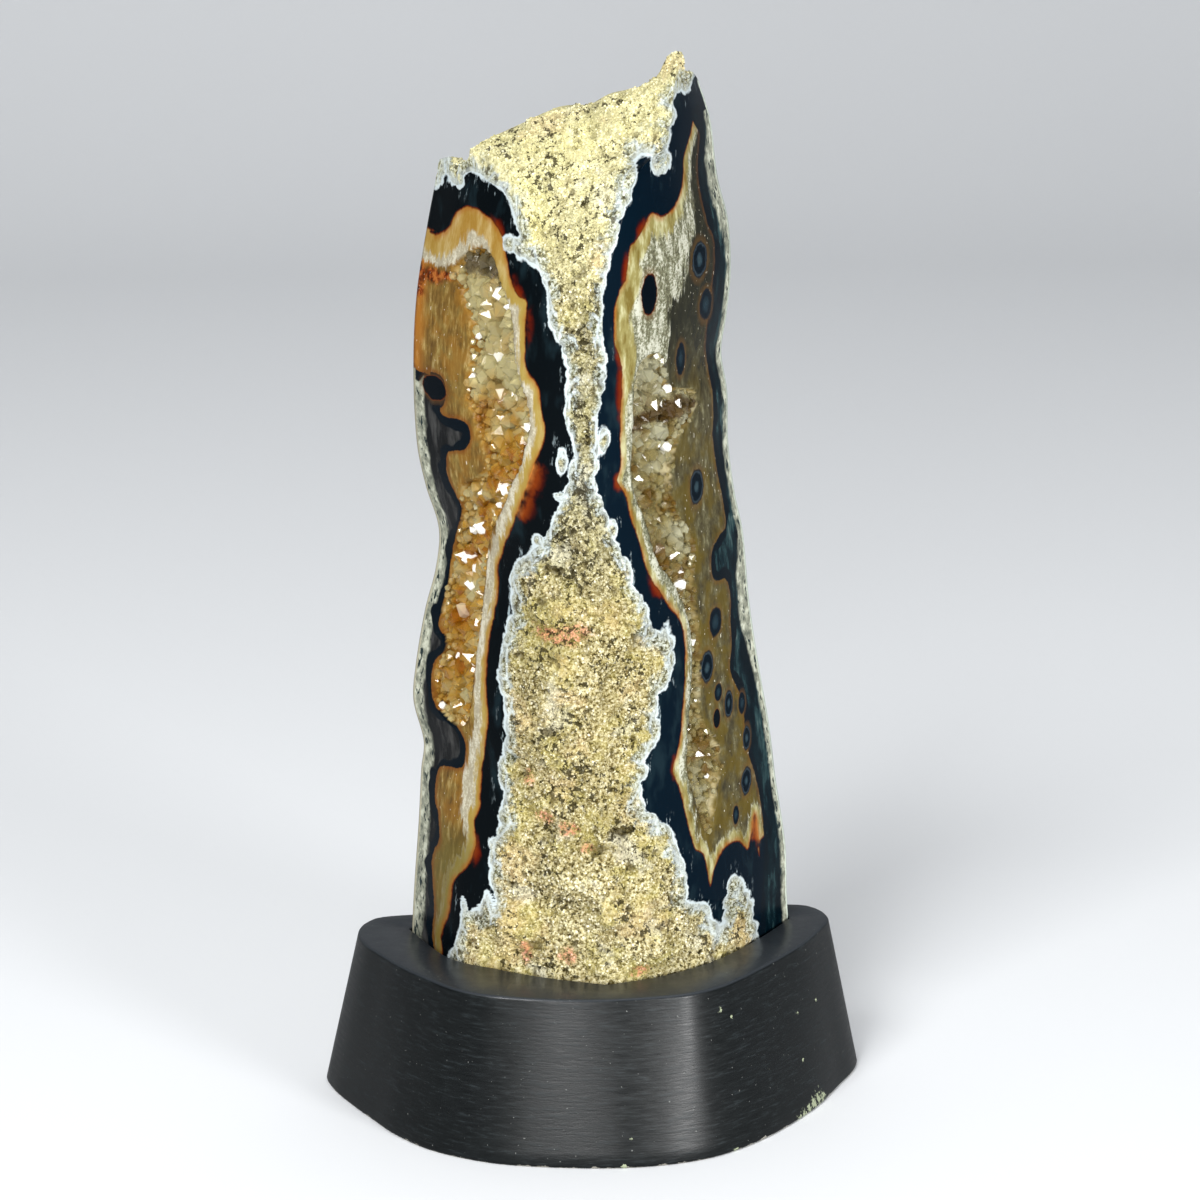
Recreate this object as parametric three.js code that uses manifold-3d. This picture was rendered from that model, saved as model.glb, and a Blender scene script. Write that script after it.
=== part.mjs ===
// An agate geode standing in its black wooden stand.
// Millimetres, +Z up, the front faces -Y. The origin is the middle of the stand's underside.
// The stone is a tall wedge: a ground and polished face on the left and on the right, rough
// natural rock between them at the front, over the slanted top and at the back.

import * as THREE from 'three';
import Module from 'manifold-3d';
import { mergeVertices } from 'three/addons/utils/BufferGeometryUtils.js';

const wasm = await Module();
wasm.setup();

// Driving sizes of the stand
const STAND_HEIGHT = 45.2;
const STAND_CHAMFER = 1.0;
const POCKET_DEPTH = 9.0;
const POCKET_GAP = 1.2;
const STAND_SIDES = 52;

// Outline of the stand's top, seen from above, counter-clockwise from the middle of the front
const STAND_TOP = [
  [0, -36.8], [15, -35.4], [23.2, -33.2], [32, -27.3], [41.4, -17.2], [51, -5.3], [58, 4.6],
  [64.1, 16.1], [67, 24], [64.5, 32.6], [57, 36.2], [30, 37], [0, 37], [-30, 37], [-57, 36.2],
  [-64.3, 31.5], [-66.8, 23], [-65.2, 13], [-60.5, 2.8], [-56.2, -5.5], [-49.5, -15.5],
  [-42.9, -23.9], [-36.4, -29], [-29.6, -32], [-15, -35.7],
];

// Outline of the stand's underside, in the same order
const STAND_FOOT = [
  [0, -45.4], [13.5, -44.4], [24.3, -41.4], [32.6, -36.8], [41.4, -29.6], [50.6, -19.6],
  [60.4, -6.4], [68.8, 9], [74.5, 20], [76, 29.5], [71, 39.5], [60, 44.6], [30, 45.4], [0, 45.4],
  [-30, 45.4], [-60, 44.6], [-71, 39.5], [-76, 28], [-74.6, 18], [-70.1, 6.6], [-64.4, -5.4],
  [-58.3, -17.2], [-48.6, -29.2], [-34.1, -38.6], [-18, -43.2],
];

// Driving sizes of the stone
const STONE_FOOT = STAND_HEIGHT - POCKET_DEPTH + 0.3;
const STONE_STRAIGHT = STAND_HEIGHT + 0.8;
const CORNER_Y = 25;
const BACK_BULGE = 5;
const BACK_ROUNDING = 24;
const ROWS = 31;
const FACE_COLUMNS = 9;
const FRONT_COLUMNS = 15;
const PEAK_CROWDING = 1.35;

// Back corners of the stone: height, then x
const LEFT_CORNER = [
  [36, -51.8], [57, -50.6], [78, -49], [92, -48.2], [100, -47.4], [112, -50.1], [122, -49.4],
  [138, -46.6], [150, -43.5], [161, -42.6], [173, -46], [185, -48.3], [206, -49], [226, -47.9],
  [245, -44.8], [257, -42.4], [262.6, -41.2],
];
const RIGHT_CORNER = [
  [36, 56], [52, 54.9], [67, 54.3], [86, 51.4], [103, 49.2], [118, 46.5], [138, 43.4],
  [158, 41.4], [170, 38.9], [184, 37.1], [198, 36.7], [209, 35], [219, 36.3], [231, 37.4],
  [245, 36.6], [257, 33.6], [273, 31.4], [283, 28.2],
];

// Edge of the left polished face against the rough front: height, then x
const LEFT_BORDER = [
  [36, -42.5], [45, -41.8], [55, -39], [61, -37], [65, -31], [71, -30], [80, -31], [86, -28.5],
  [94, -27], [101, -28.4], [108, -26.8], [119, -26.6], [127, -28.2], [137, -27], [147, -24.5],
  [157, -24.8], [162, -21.5], [167, -17.4], [175, -14.2], [182, -11.6], [188, -10.2],
  [195, -9], [202, -11.5], [212, -10.8], [220, -11.5], [226, -14.8], [235, -15.4],
  [243, -19.2], [251, -22], [257, -24.4], [260, -27], [262.4, -31.2], [263.9, -34.7],
];

// Edge of the right polished face against the rough front: height, then x
const RIGHT_BORDER = [
  [36, 46], [47, 44.1], [54, 42.4], [60, 38], [65, 25], [70, 22.4], [79, 19.4], [88, 15.4],
  [94, 9.5], [101, 8.4], [108, 11], [115, 13.8], [121, 12.8], [127, 16.6], [135, 18],
  [140, 15], [145, 11], [152, 8.4], [161, 5.2], [167, 2], [175, -1.2], [185, -4.2],
  [195, -3.8], [204, -4], [213, -1.8], [222, -2.3], [234, -2.8], [243, -0.4], [250, 1.8],
  [257, 3.8], [266, 6.8], [270, 12.4], [275, 16.8], [280, 18.3], [284.5, 20], [287, 23.1],
];

// Height of the ridge over the stone's top: x, then height, with the crest's distance back
const RIDGE = [
  [-34.7, 263.9], [-33.2, 267.2], [-30, 269.4], [-20, 274], [-10, 278.6], [-2, 279.4],
  [3, 282.2], [11.5, 284.2], [16, 287.2], [18, 291.2], [20.2, 292.3], [22.4, 291.6],
  [23.1, 287],
];
const RIDGE_Y = [[-34.7, 7.7], [-28, 12], [-10, 13], [8, 10], [18, 12], [23.1, 14.5]];

// How the stone's plan runs from a back corner to its nose: the part of the width crossed,
// then the part of the depth reached, at the foot and above it
const LEFT_PLAN_FOOT = [[0, 0], [0.2, 0.5], [0.45, 0.71], [0.72, 0.875], [1, 1]];
const LEFT_PLAN = [[0, 0], [0.2, 0.34], [0.45, 0.65], [0.72, 0.87], [1, 1]];
const RIGHT_PLAN_FOOT = [[0, 0], [0.2, 0.33], [0.45, 0.66], [0.72, 0.88], [1, 1]];
const RIGHT_PLAN = [[0, 0], [0.2, 0.32], [0.45, 0.64], [0.72, 0.87], [1, 1]];
const NOSE_X = [[36, 0], [120, -3], [190, -4.5], [240, -3], [292, -1]];
const NOSE_DEPTH = [[36, 48.5], [46, 48.5], [190, 54], [240, 54], [292, 52]];
const NOSE_FULLNESS = [[36, 1], [150, 1], [200, 0.7], [250, 0.25], [292, 0]];

// The two crystal hollows: height, left end and right end of the opening, top to bottom
const LEFT_HOLLOW = [
  [242.5, -33.4, -30.2], [239, -37.4, -28.2], [235.5, -39, -27.6], [231, -37.6, -26],
  [225, -36, -24.7], [216, -35, -24.2], [208, -36.4, -22.4], [203, -36.6, -21],
  [198, -34.8, -20.8], [192, -32.8, -22], [187, -31.8, -23.2], [182, -33.4, -25.2],
  [177, -37.6, -26.6], [170, -37, -29], [164, -37.8, -30.4], [155, -39.4, -31.2],
  [146, -40.9, -32.2], [138, -42.8, -33.2], [131, -41.7, -34.2], [124, -44.4, -35],
  [116, -45, -35.8], [111, -41.5, -37.5],
];
const RIGHT_HOLLOW = [
  [216.5, 9.4, 14.6], [212, 7, 16], [207, 6.7, 17.4], [203.5, 6.6, 24.6], [200, 6.5, 26.4],
  [196, 6.3, 24], [192, 6, 20.4], [186, 6.3, 18.4], [180, 7.2, 18], [174, 9.6, 18.8],
  [170, 10.9, 21.2], [165, 12.2, 24.6], [160, 14, 25.4], [155, 17.6, 24.8], [148, 21, 25],
  [138, 23.7, 26.4], [126, 23.9, 26.8], [116, 23, 26.6], [110, 22.6, 29], [104, 22.4, 32.6],
  [98, 23.2, 33.3], [92, 24.8, 31.6], [86, 26.4, 30.6], [82, 28, 29.6],
];
const HOLLOW_DEPTH = 9;
const HOLLOW_EDGE = 1.5;
const HOLLOW_STEPS = 5;
const LEFT_INWARD = new THREE.Vector3(0.8, 0.6, 0);
const RIGHT_INWARD = new THREE.Vector3(-0.8, 0.6, 0);

// Crystals
const CRUST_GAP = 0.3;
const CRUST_THICKNESS = 2.2;
const CRYSTAL_RADIUS = [1.9, 3.2];
const LEFT_CRYSTALS = 38;
const RIGHT_CRYSTALS = 24;

// A smooth curve through rows of [place, value]
function curveThrough(rows, at) {
  const last = rows.length - 1;
  if (at <= rows[0][0]) return rows[0][1];
  if (at >= rows[last][0]) return rows[last][1];
  let i = 0;
  while (rows[i + 1][0] < at) i += 1;
  const slope = (a, b) => (rows[b][1] - rows[a][1]) / (rows[b][0] - rows[a][0]);
  const gap = rows[i + 1][0] - rows[i][0];
  const before = slope(Math.max(i - 1, 0), i + 1);
  const after = slope(i, Math.min(i + 2, last));
  const t = (at - rows[i][0]) / gap;
  const h = t * t * (3 - 2 * t);
  const start = t * (1 - t) * (1 - t) * gap * before;
  const end = t * t * (1 - t) * gap * after;
  return rows[i][1] * (1 - h) + rows[i + 1][1] * h + start - end;
}

const blend = (a, b, t) => a + (b - a) * t;
const clamp01 = (v) => Math.min(Math.max(v, 0), 1);
const ease = (a, b, v) => {
  const t = clamp01((v - a) / (b - a));
  return t * t * (3 - 2 * t);
};

// Smooth random heights between -1 and 1 on a unit grid
function noise(x, z, seed) {
  const corner = (i, j) => {
    const s = Math.sin(i * 127.1 + j * 311.7 + seed * 74.7) * 43758.5453;
    return 2 * (s - Math.floor(s)) - 1;
  };
  const i = Math.floor(x);
  const j = Math.floor(z);
  const u = ease(0, 1, x - i);
  const v = ease(0, 1, z - j);
  const low = blend(corner(i, j), corner(i + 1, j), u);
  const high = blend(corner(i, j + 1), corner(i + 1, j + 1), u);
  return blend(low, high, v);
}

// Lumps, pits and ledges of the natural rock, in millimetres outwards
function lumps(x, z, seed) {
  const ledge = 1.8 * Math.abs(noise(x / 40, z / 13, seed + 2));
  return 2.8 * noise(x / 15, z / 15, seed) + 2.2 * noise(x / 6.5, z / 6.5, seed + 1) - ledge;
}

// The stone's smooth front surface: its y at a place seen from the front
function planY(x, z) {
  const height = Math.max(z, STONE_STRAIGHT);
  const left = curveThrough(LEFT_CORNER, height);
  const right = curveThrough(RIGHT_CORNER, height);
  const nose = curveThrough(NOSE_X, height);
  const onLeft = x < nose;
  const crossed = clamp01(onLeft ? (x - left) / (nose - left) : (right - x) / (right - nose));
  const foot = curveThrough(onLeft ? LEFT_PLAN_FOOT : RIGHT_PLAN_FOOT, crossed);
  const above = curveThrough(onLeft ? LEFT_PLAN : RIGHT_PLAN, crossed);
  const reached = blend(foot, above, ease(46, 124, height));
  return CORNER_Y - curveThrough(NOSE_DEPTH, height) * reached;
}

// Height of a row: the first row is the cut foot, the second stands just above the rim
function rowHeight(row, top) {
  if (row === 0) return STONE_FOOT;
  const t = 1 - (1 - (row - 1) / (ROWS - 1)) ** 1.25;
  return blend(STONE_STRAIGHT, top, t);
}

// A polished face: x runs from the back corner to the edge of the rough front
function facePoint(corner, border, across, row) {
  const cornerZ = rowHeight(row, corner[corner.length - 1][0]);
  const borderZ = rowHeight(row, border[border.length - 1][0]);
  const z = blend(cornerZ, borderZ, across);
  const xCorner = curveThrough(corner, Math.max(cornerZ, STONE_STRAIGHT));
  const xBorder = curveThrough(border, Math.max(borderZ, STONE_STRAIGHT));
  const x = blend(xCorner, xBorder, across);
  const bend = across * (1 - across) * 4;
  return new THREE.Vector3(x, across === 0 ? CORNER_Y : planY(x, z), z + 1.2 * bend * (row / ROWS));
}

// The rough front between the polished faces, up to the ridge
function roughPoint(across, row) {
  const left = facePoint(LEFT_CORNER, LEFT_BORDER, 1, row);
  const right = facePoint(RIGHT_CORNER, RIGHT_BORDER, 1, row);
  const point = left.clone().lerp(right, across);
  const full = curveThrough(NOSE_FULLNESS, point.z);
  point.y = blend(point.y, planY(point.x, point.z), full);
  const toEdge = Math.min(across, 1 - across) * (right.x - left.x);
  const away = ease(0, 4, toEdge) * ease(46, 52, point.z) * ease(0, 0.04, 1 - row / ROWS);
  point.y -= away * (lumps(point.x, point.z, 3) - 0.8);
  const rise = ease(0.8, 1, row / ROWS);
  point.y += (curveThrough(RIDGE_Y, point.x) - blend(7.7, 14.5, across)) * rise;
  point.z += (curveThrough(RIDGE, point.x) - blend(263.9, 287, across)) * rise;
  return point;
}

// All columns of the front, from the left back corner to the right back corner
function frontRow(row) {
  const points = [];
  for (let i = 0; i < FACE_COLUMNS; i += 1) {
    points.push(facePoint(LEFT_CORNER, LEFT_BORDER, i / FACE_COLUMNS, row));
  }
  for (let i = 0; i <= FRONT_COLUMNS; i += 1) {
    points.push(roughPoint(1 - (1 - i / FRONT_COLUMNS) ** PEAK_CROWDING, row));
  }
  for (let i = FACE_COLUMNS - 1; i >= 0; i -= 1) {
    points.push(facePoint(RIGHT_CORNER, RIGHT_BORDER, i / FACE_COLUMNS, row));
  }
  return points;
}

// The natural rind at the back lies behind the front, row by row, and meets it at the ridge
function backRow(row, front, crest) {
  const last = front.length - 1;
  const width = front[last].x - front[0].x;
  return front.map((point, i) => {
    if (i === 0 || i === last || row === ROWS) return point.clone();
    const across = clamp01((point.x - front[0].x) / width);
    const bulge = Math.sin(Math.PI * across) ** 0.6;
    const below = clamp01((crest[i].z - point.z) / BACK_ROUNDING);
    const rounding = Math.sqrt(1 - (1 - below) ** 2);
    const away = bulge * ease(46, 56, point.z) * rounding;
    const flat = CORNER_Y + BACK_BULGE * bulge + away * (lumps(point.x, point.z, 11) + 0.4);
    return new THREE.Vector3(point.x, blend(crest[i].y, flat, rounding), point.z);
  });
}

// Two sheets sewn along the corners and the ridge, closed by the cut foot
function stoneGeometry() {
  const front = [];
  for (let row = 0; row <= ROWS; row += 1) front.push(frontRow(row));
  const back = front.map((points, row) => backRow(row, points, front[ROWS]));
  const triangles = [];
  const quad = (a, b, c, d) => triangles.push(a, b, c, a, c, d);
  for (let row = 0; row < ROWS; row += 1) {
    for (let i = 0; i < front[0].length - 1; i += 1) {
      quad(front[row][i], front[row][i + 1], front[row + 1][i + 1], front[row + 1][i]);
      quad(back[row][i + 1], back[row][i], back[row + 1][i], back[row + 1][i + 1]);
      if (row === 0) quad(back[0][i], back[0][i + 1], front[0][i + 1], front[0][i]);
    }
  }
  return geometryOf(triangles);
}

function geometryOf(triangles) {
  const geometry = new THREE.BufferGeometry().setFromPoints(triangles);
  return mergeVertices(geometry, 1e-4);
}

// A body made of closed rings of equal count, capped at both ends
function loftGeometry(rings) {
  const triangles = [];
  const count = rings[0].length;
  for (let r = 0; r < rings.length - 1; r += 1) {
    for (let i = 0; i < count; i += 1) {
      const j = (i + 1) % count;
      triangles.push(rings[r][i], rings[r][j], rings[r + 1][j]);
      triangles.push(rings[r][i], rings[r + 1][j], rings[r + 1][i]);
    }
  }
  capRing(triangles, rings[0], true);
  capRing(triangles, rings[rings.length - 1], false);
  return geometryOf(triangles);
}

function capRing(triangles, ring, reversed) {
  const flat = capPlane(ring);
  THREE.ShapeUtils.triangulateShape(flat, []).forEach(([a, b, c]) => {
    const order = reversed ? [a, c, b] : [a, b, c];
    order.forEach((i) => triangles.push(ring[i]));
  });
}

function capPlane(ring) {
  return ring.map((p) => new THREE.Vector2(p.x, p.y));
}

// Solid bodies for cutting and joining
function solidOf(geometry) {
  const merged = mergeVertices(geometry, 1e-4);
  const vertProperties = new Float32Array(merged.attributes.position.array);
  const triVerts = new Uint32Array(merged.index.array);
  return new wasm.Manifold(new wasm.Mesh({ numProp: 3, vertProperties, triVerts }));
}

function geometryFrom(solid) {
  const mesh = solid.getMesh();
  const geometry = new THREE.BufferGeometry();
  geometry.setAttribute('position', new THREE.BufferAttribute(mesh.vertProperties, 3));
  geometry.setIndex(new THREE.BufferAttribute(mesh.triVerts, 1));
  return geometry;
}

// The places across a hollow's opening at one height, and how deep the bowl is at each
function hollowBowl([z, xLeft, xRight], inset) {
  const on = (s) => {
    const x = blend(xLeft + inset, xRight - inset, s);
    return new THREE.Vector3(x, planY(x, z), z);
  };
  const width = on(0).distanceTo(on(1));
  const deepest = Math.max(Math.min(HOLLOW_DEPTH, 0.6 * width), HOLLOW_EDGE + 0.4);
  const depth = (s) => blend(HOLLOW_EDGE, deepest, 1 - Math.abs(2 * s - 1) ** 3) - inset;
  return { on, depth };
}

// A body between two paths over a hollow: each path gives its depth at s from 0 to 1
function bowlSolid(rows, inward, inset, outerDepth, innerDepth) {
  const upwards = [...rows].reverse();
  const rings = upwards.map((row, i) => {
    const end = i === 0 ? inset : i === upwards.length - 1 ? -inset : 0;
    const { on, depth } = hollowBowl([row[0] + end, row[1], row[2]], inset);
    const steps = Array.from({ length: HOLLOW_STEPS + 1 }, (_, k) => k / HOLLOW_STEPS);
    const outer = steps.map((s) => on(s).addScaledVector(inward, outerDepth(depth(s))));
    const inner = steps.map((s) => on(s).addScaledVector(inward, innerDepth(depth(s))));
    return [...outer, ...inner.reverse()];
  });
  return solidOf(loftGeometry(rings));
}

// A fixed stream of random numbers between 0 and 1
function randomStream(seed) {
  let state = seed;
  return () => {
    state = (state * 1664525 + 1013904223) % 4294967296;
    return state / 4294967296;
  };
}

// A six-sided quartz point: short sides and a pyramid
function crystalSolid(place, direction, radius, length) {
  const shape = new THREE.ConeGeometry(radius, length, 6, 1);
  shape.translate(0, length / 2 - 0.6, 0);
  const up = new THREE.Vector3(0, 1, 0);
  shape.applyQuaternion(new THREE.Quaternion().setFromUnitVectors(up, direction));
  shape.translate(place.x, place.y, place.z);
  shape.deleteAttribute('normal');
  shape.deleteAttribute('uv');
  return solidOf(shape);
}

// The crust lines the hollow, and its crystals stand on it, kept inside the hollow
function crustGeometry(rows, inward, count, seed) {
  const random = randomStream(seed);
  const between = (a, b) => blend(a, b, random());
  const upwards = [...rows].reverse();
  const edge = (column) => upwards.map((row) => [row[0], row[column]]);
  const bottom = upwards[0][0];
  const top = upwards[upwards.length - 1][0];
  const surface = (depth) => Math.max(depth - CRUST_THICKNESS, CRUST_GAP);
  const space = bowlSolid(rows, inward, CRUST_GAP, () => CRUST_GAP, (depth) => depth);
  let crust = bowlSolid(rows, inward, CRUST_GAP, surface, (depth) => depth);
  for (let i = 0; i < count; i += 1) {
    const z = blend(bottom + 2, top - 2, (i + random()) / count);
    const row = [z, curveThrough(edge(1), z), curveThrough(edge(2), z)];
    const { on, depth } = hollowBowl(row, CRUST_GAP);
    const s = between(0.06, 0.94);
    const place = on(s).addScaledVector(inward, surface(depth(s)) + 0.8);
    const lean = new THREE.Vector3(between(-0.6, 0.6), between(-0.6, 0.6), between(-0.6, 0.6));
    const direction = lean.addScaledVector(inward, -1).normalize();
    const radius = between(CRYSTAL_RADIUS[0], CRYSTAL_RADIUS[1]);
    crust = crust.add(crystalSolid(place, direction, radius, radius * between(1.9, 2.7)));
  }
  return geometryFrom(crust.intersect(space));
}

// The stand: a flared block with softened rims, its pocket cut to the stone's foot
function outlineRing(points, inset, z) {
  const curve = new THREE.CatmullRomCurve3(
    points.map(([x, y]) => new THREE.Vector3(x, y, z)), true, 'centripetal');
  const ring = curve.getPoints(STAND_SIDES).slice(0, STAND_SIDES);
  return offsetRing(ring, -inset);
}

// Moves a ring outwards: each corner goes far enough for both of its sides to keep the distance
function offsetRing(ring, distance) {
  const count = ring.length;
  const outward = (a, b) => new THREE.Vector3(b.y - a.y, a.x - b.x, 0).normalize();
  return ring.map((p, i) => {
    const before = outward(ring[(i + count - 1) % count], p);
    const after = outward(p, ring[(i + 1) % count]);
    const middle = before.clone().add(after).normalize();
    return p.clone().addScaledVector(middle, distance / Math.max(middle.dot(after), 0.5));
  });
}

function standGeometry() {
  const rings = [
    outlineRing(STAND_FOOT, STAND_CHAMFER, 0),
    outlineRing(STAND_FOOT, 0.15, STAND_CHAMFER),
    outlineRing(STAND_TOP, 0, STAND_HEIGHT - STAND_CHAMFER),
    outlineRing(STAND_TOP, STAND_CHAMFER, STAND_HEIGHT),
  ];
  const block = solidOf(loftGeometry(rings));
  return geometryFrom(block.subtract(pocketSolid()));
}

function pocketSolid() {
  const front = frontRow(0);
  const back = backRow(0, front, frontRow(ROWS));
  const ring = offsetRing([...front, ...back.slice(1, -1).reverse()], POCKET_GAP);
  const floor = STAND_HEIGHT - POCKET_DEPTH;
  const levels = [floor, STAND_HEIGHT + 5];
  return solidOf(loftGeometry(levels.map((z) => ring.map((p) => new THREE.Vector3(p.x, p.y, z)))));
}

function part(name, geometry, color, roughness) {
  geometry.computeVertexNormals();
  const material = new THREE.MeshStandardMaterial({ color, roughness, metalness: 0 });
  const mesh = new THREE.Mesh(geometry, material);
  mesh.name = name;
  return mesh;
}

const outside = () => -5;
const toFloor = (depth) => depth;
const leftHollow = bowlSolid(LEFT_HOLLOW, LEFT_INWARD, 0, outside, toFloor);
const rightHollow = bowlSolid(RIGHT_HOLLOW, RIGHT_INWARD, 0, outside, toFloor);
const stone = solidOf(stoneGeometry()).subtract(leftHollow).subtract(rightHollow);
const leftCrust = crustGeometry(LEFT_HOLLOW, LEFT_INWARD, LEFT_CRYSTALS, 7);
const rightCrust = crustGeometry(RIGHT_HOLLOW, RIGHT_INWARD, RIGHT_CRYSTALS, 19);

const group = new THREE.Group();
group.add(part('agate_geode', geometryFrom(stone), 0xb08a4c, 0.35));
group.add(part('left_hollow_crystals', leftCrust, 0xc9a04a, 0.25));
group.add(part('right_hollow_crystals', rightCrust, 0xa8977a, 0.25));
group.add(part('wooden_stand', standGeometry(), 0x1b1e1e, 0.45));

export default group;
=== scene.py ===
# %% [markdown]
# An agate geode that stands in a black wooden stand. The real stone is a tall wedge. It was ground
# and polished on the left and on the right, and its natural rock was left rough at the front, over
# the top and at the back. The polished cuts show dark bands, cream and amber quartz, and a hollow
# lined with quartz points on each side. This lesson loads the solid model of the piece, and then
# makes its looks around that frame: the stone, the crystals, the grains of rock, the stand, and a
# small studio.

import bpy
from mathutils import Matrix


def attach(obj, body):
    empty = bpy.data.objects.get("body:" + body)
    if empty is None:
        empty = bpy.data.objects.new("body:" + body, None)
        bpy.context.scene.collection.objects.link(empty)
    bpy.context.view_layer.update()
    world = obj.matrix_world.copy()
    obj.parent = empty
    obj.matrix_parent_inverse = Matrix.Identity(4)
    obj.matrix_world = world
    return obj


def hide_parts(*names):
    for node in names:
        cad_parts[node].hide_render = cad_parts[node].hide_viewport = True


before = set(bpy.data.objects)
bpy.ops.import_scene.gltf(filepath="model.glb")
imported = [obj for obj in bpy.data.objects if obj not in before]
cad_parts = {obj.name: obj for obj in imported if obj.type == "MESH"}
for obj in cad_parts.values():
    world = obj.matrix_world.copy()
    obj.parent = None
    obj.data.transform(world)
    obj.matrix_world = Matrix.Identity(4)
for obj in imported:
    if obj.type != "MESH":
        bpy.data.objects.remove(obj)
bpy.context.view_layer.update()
print("solid model:", sorted(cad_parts))

# %% Libraries and units
import math

import bpy
import numpy as np
from mathutils import Vector

MM = 0.001


# %% [markdown]
# The outline of the stone is described by short lists: a height, and how far left or right the
# edge lies there. A smooth curve through such a list gives the edge at any height. These are the
# same lists that drive the solid model, in millimetres, so that the fine stone made here lies on
# the solid one. Lists suit a natural thing, which follows no formula. Their points were picked by
# eye on the photograph. A small program, which isn't part of this lesson, then carried them along
# the camera's rays onto the stone, and rounded them to a tenth of a millimetre. The outlines and
# spots of the agate's pattern and the stand's outlines, further down, were made in the same way.
# The lists of depth, such as the nose's, were chosen until the shape fitted.

# %% Smooth curves through measured rows
def curve_through(rows, at):
    """The values of a smooth curve through rows of (place, value)."""
    places, values = np.array(rows, float).T
    count = len(places)
    after = np.minimum(np.arange(count) + 1, count - 1)
    before = np.maximum(np.arange(count) - 1, 0)
    slopes = (values[after] - values[before]) / (places[after] - places[before])
    i = np.clip(np.searchsorted(places, at, side="right") - 1, 0, count - 2)
    gap = places[i + 1] - places[i]
    t = np.clip((at - places[i]) / gap, 0, 1)
    h = t * t * (3 - 2 * t)
    start = t * (1 - t) ** 2 * gap * slopes[i]
    end = t * t * (1 - t) * gap * slopes[i + 1]
    return values[i] * (1 - h) + values[i + 1] * h + start - end


def blend(a, b, t):
    """From a, where t is 0, to b, where t is 1."""
    return a + (b - a) * t


def ease(a, b, value):
    """From 0, where the value is a, to 1, where it is b, with a soft start and end."""
    t = np.clip((value - a) / (b - a), 0, 1)
    return t * t * (3 - 2 * t)


# %% The stone's measured edges, in millimetres
STAND_HEIGHT = 45.2
POCKET_DEPTH = 9.0
AIR_UNDER_FOOT = 0.3
STRAIGHT_OVER_RIM = 0.8
STONE_FOOT = STAND_HEIGHT - POCKET_DEPTH + AIR_UNDER_FOOT
STONE_STRAIGHT = STAND_HEIGHT + STRAIGHT_OVER_RIM
CORNER_Y = 25.0
BACK_BULGE = 5.0
BACK_ROUNDING = 24.0
LEFT_CORNER = [
    (36, -51.8), (57, -50.6), (78, -49), (92, -48.2), (100, -47.4), (112, -50.1), (122, -49.4),
    (138, -46.6), (150, -43.5), (161, -42.6), (173, -46), (185, -48.3), (206, -49), (226, -47.9),
    (245, -44.8), (257, -42.4), (262.6, -41.2),
]
RIGHT_CORNER = [
    (36, 56), (52, 54.9), (67, 54.3), (86, 51.4), (103, 49.2), (118, 46.5), (138, 43.4),
    (158, 41.4), (170, 38.9), (184, 37.1), (198, 36.7), (209, 35), (219, 36.3), (231, 37.4),
    (245, 36.6), (257, 33.6), (273, 31.4), (283, 28.2),
]
LEFT_BORDER = [
    (36, -42.5), (45, -41.8), (55, -39), (61, -37), (65, -31), (71, -30), (80, -31), (86, -28.5),
    (94, -27), (101, -28.4), (108, -26.8), (119, -26.6), (127, -28.2), (137, -27), (147, -24.5),
    (157, -24.8), (162, -21.5), (167, -17.4), (175, -14.2), (182, -11.6), (188, -10.2),
    (195, -9), (202, -11.5), (212, -10.8), (220, -11.5), (226, -14.8), (235, -15.4),
    (243, -19.2), (251, -22), (257, -24.4), (260, -27), (262.4, -31.2), (263.9, -34.7),
]
RIGHT_BORDER = [
    (36, 46), (47, 44.1), (54, 42.4), (60, 38), (65, 25), (70, 22.4), (79, 19.4), (88, 15.4),
    (94, 9.5), (101, 8.4), (108, 11), (115, 13.8), (121, 12.8), (127, 16.6), (135, 18),
    (140, 15), (145, 11), (152, 8.4), (161, 5.2), (167, 2), (175, -1.2), (185, -4.2),
    (195, -3.8), (204, -4), (213, -1.8), (222, -2.3), (234, -2.8), (243, -0.4), (250, 1.8),
    (257, 3.8), (266, 6.8), (270, 12.4), (275, 16.8), (280, 18.3), (284.5, 20), (287, 23.1),
]
RIDGE = [
    (-34.7, 263.9), (-33.2, 267.2), (-30, 269.4), (-20, 274), (-10, 278.6), (-2, 279.4),
    (3, 282.2), (11.5, 284.2), (16, 287.2), (18, 291.2), (20.2, 292.3), (22.4, 291.6),
    (23.1, 287),
]
RIDGE_Y = [(-34.7, 7.7), (-28, 12), (-10, 13), (8, 10), (18, 12), (23.1, 14.5)]
LEFT_PLAN_FOOT = [(0, 0), (0.2, 0.5), (0.45, 0.71), (0.72, 0.875), (1, 1)]
LEFT_PLAN = [(0, 0), (0.2, 0.34), (0.45, 0.65), (0.72, 0.87), (1, 1)]
RIGHT_PLAN_FOOT = [(0, 0), (0.2, 0.33), (0.45, 0.66), (0.72, 0.88), (1, 1)]
RIGHT_PLAN = [(0, 0), (0.2, 0.32), (0.45, 0.64), (0.72, 0.87), (1, 1)]
NOSE_X = [(36, 0), (120, -3), (190, -4.5), (240, -3), (292, -1)]
NOSE_DEPTH = [(36, 48.5), (46, 48.5), (190, 54), (240, 54), (292, 52)]
NOSE_FULLNESS = [(36, 1), (150, 1), (200, 0.7), (250, 0.25), (292, 0)]
LEFT_TOP = LEFT_BORDER[-1][0]
RIGHT_TOP = RIGHT_BORDER[-1][0]


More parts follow.
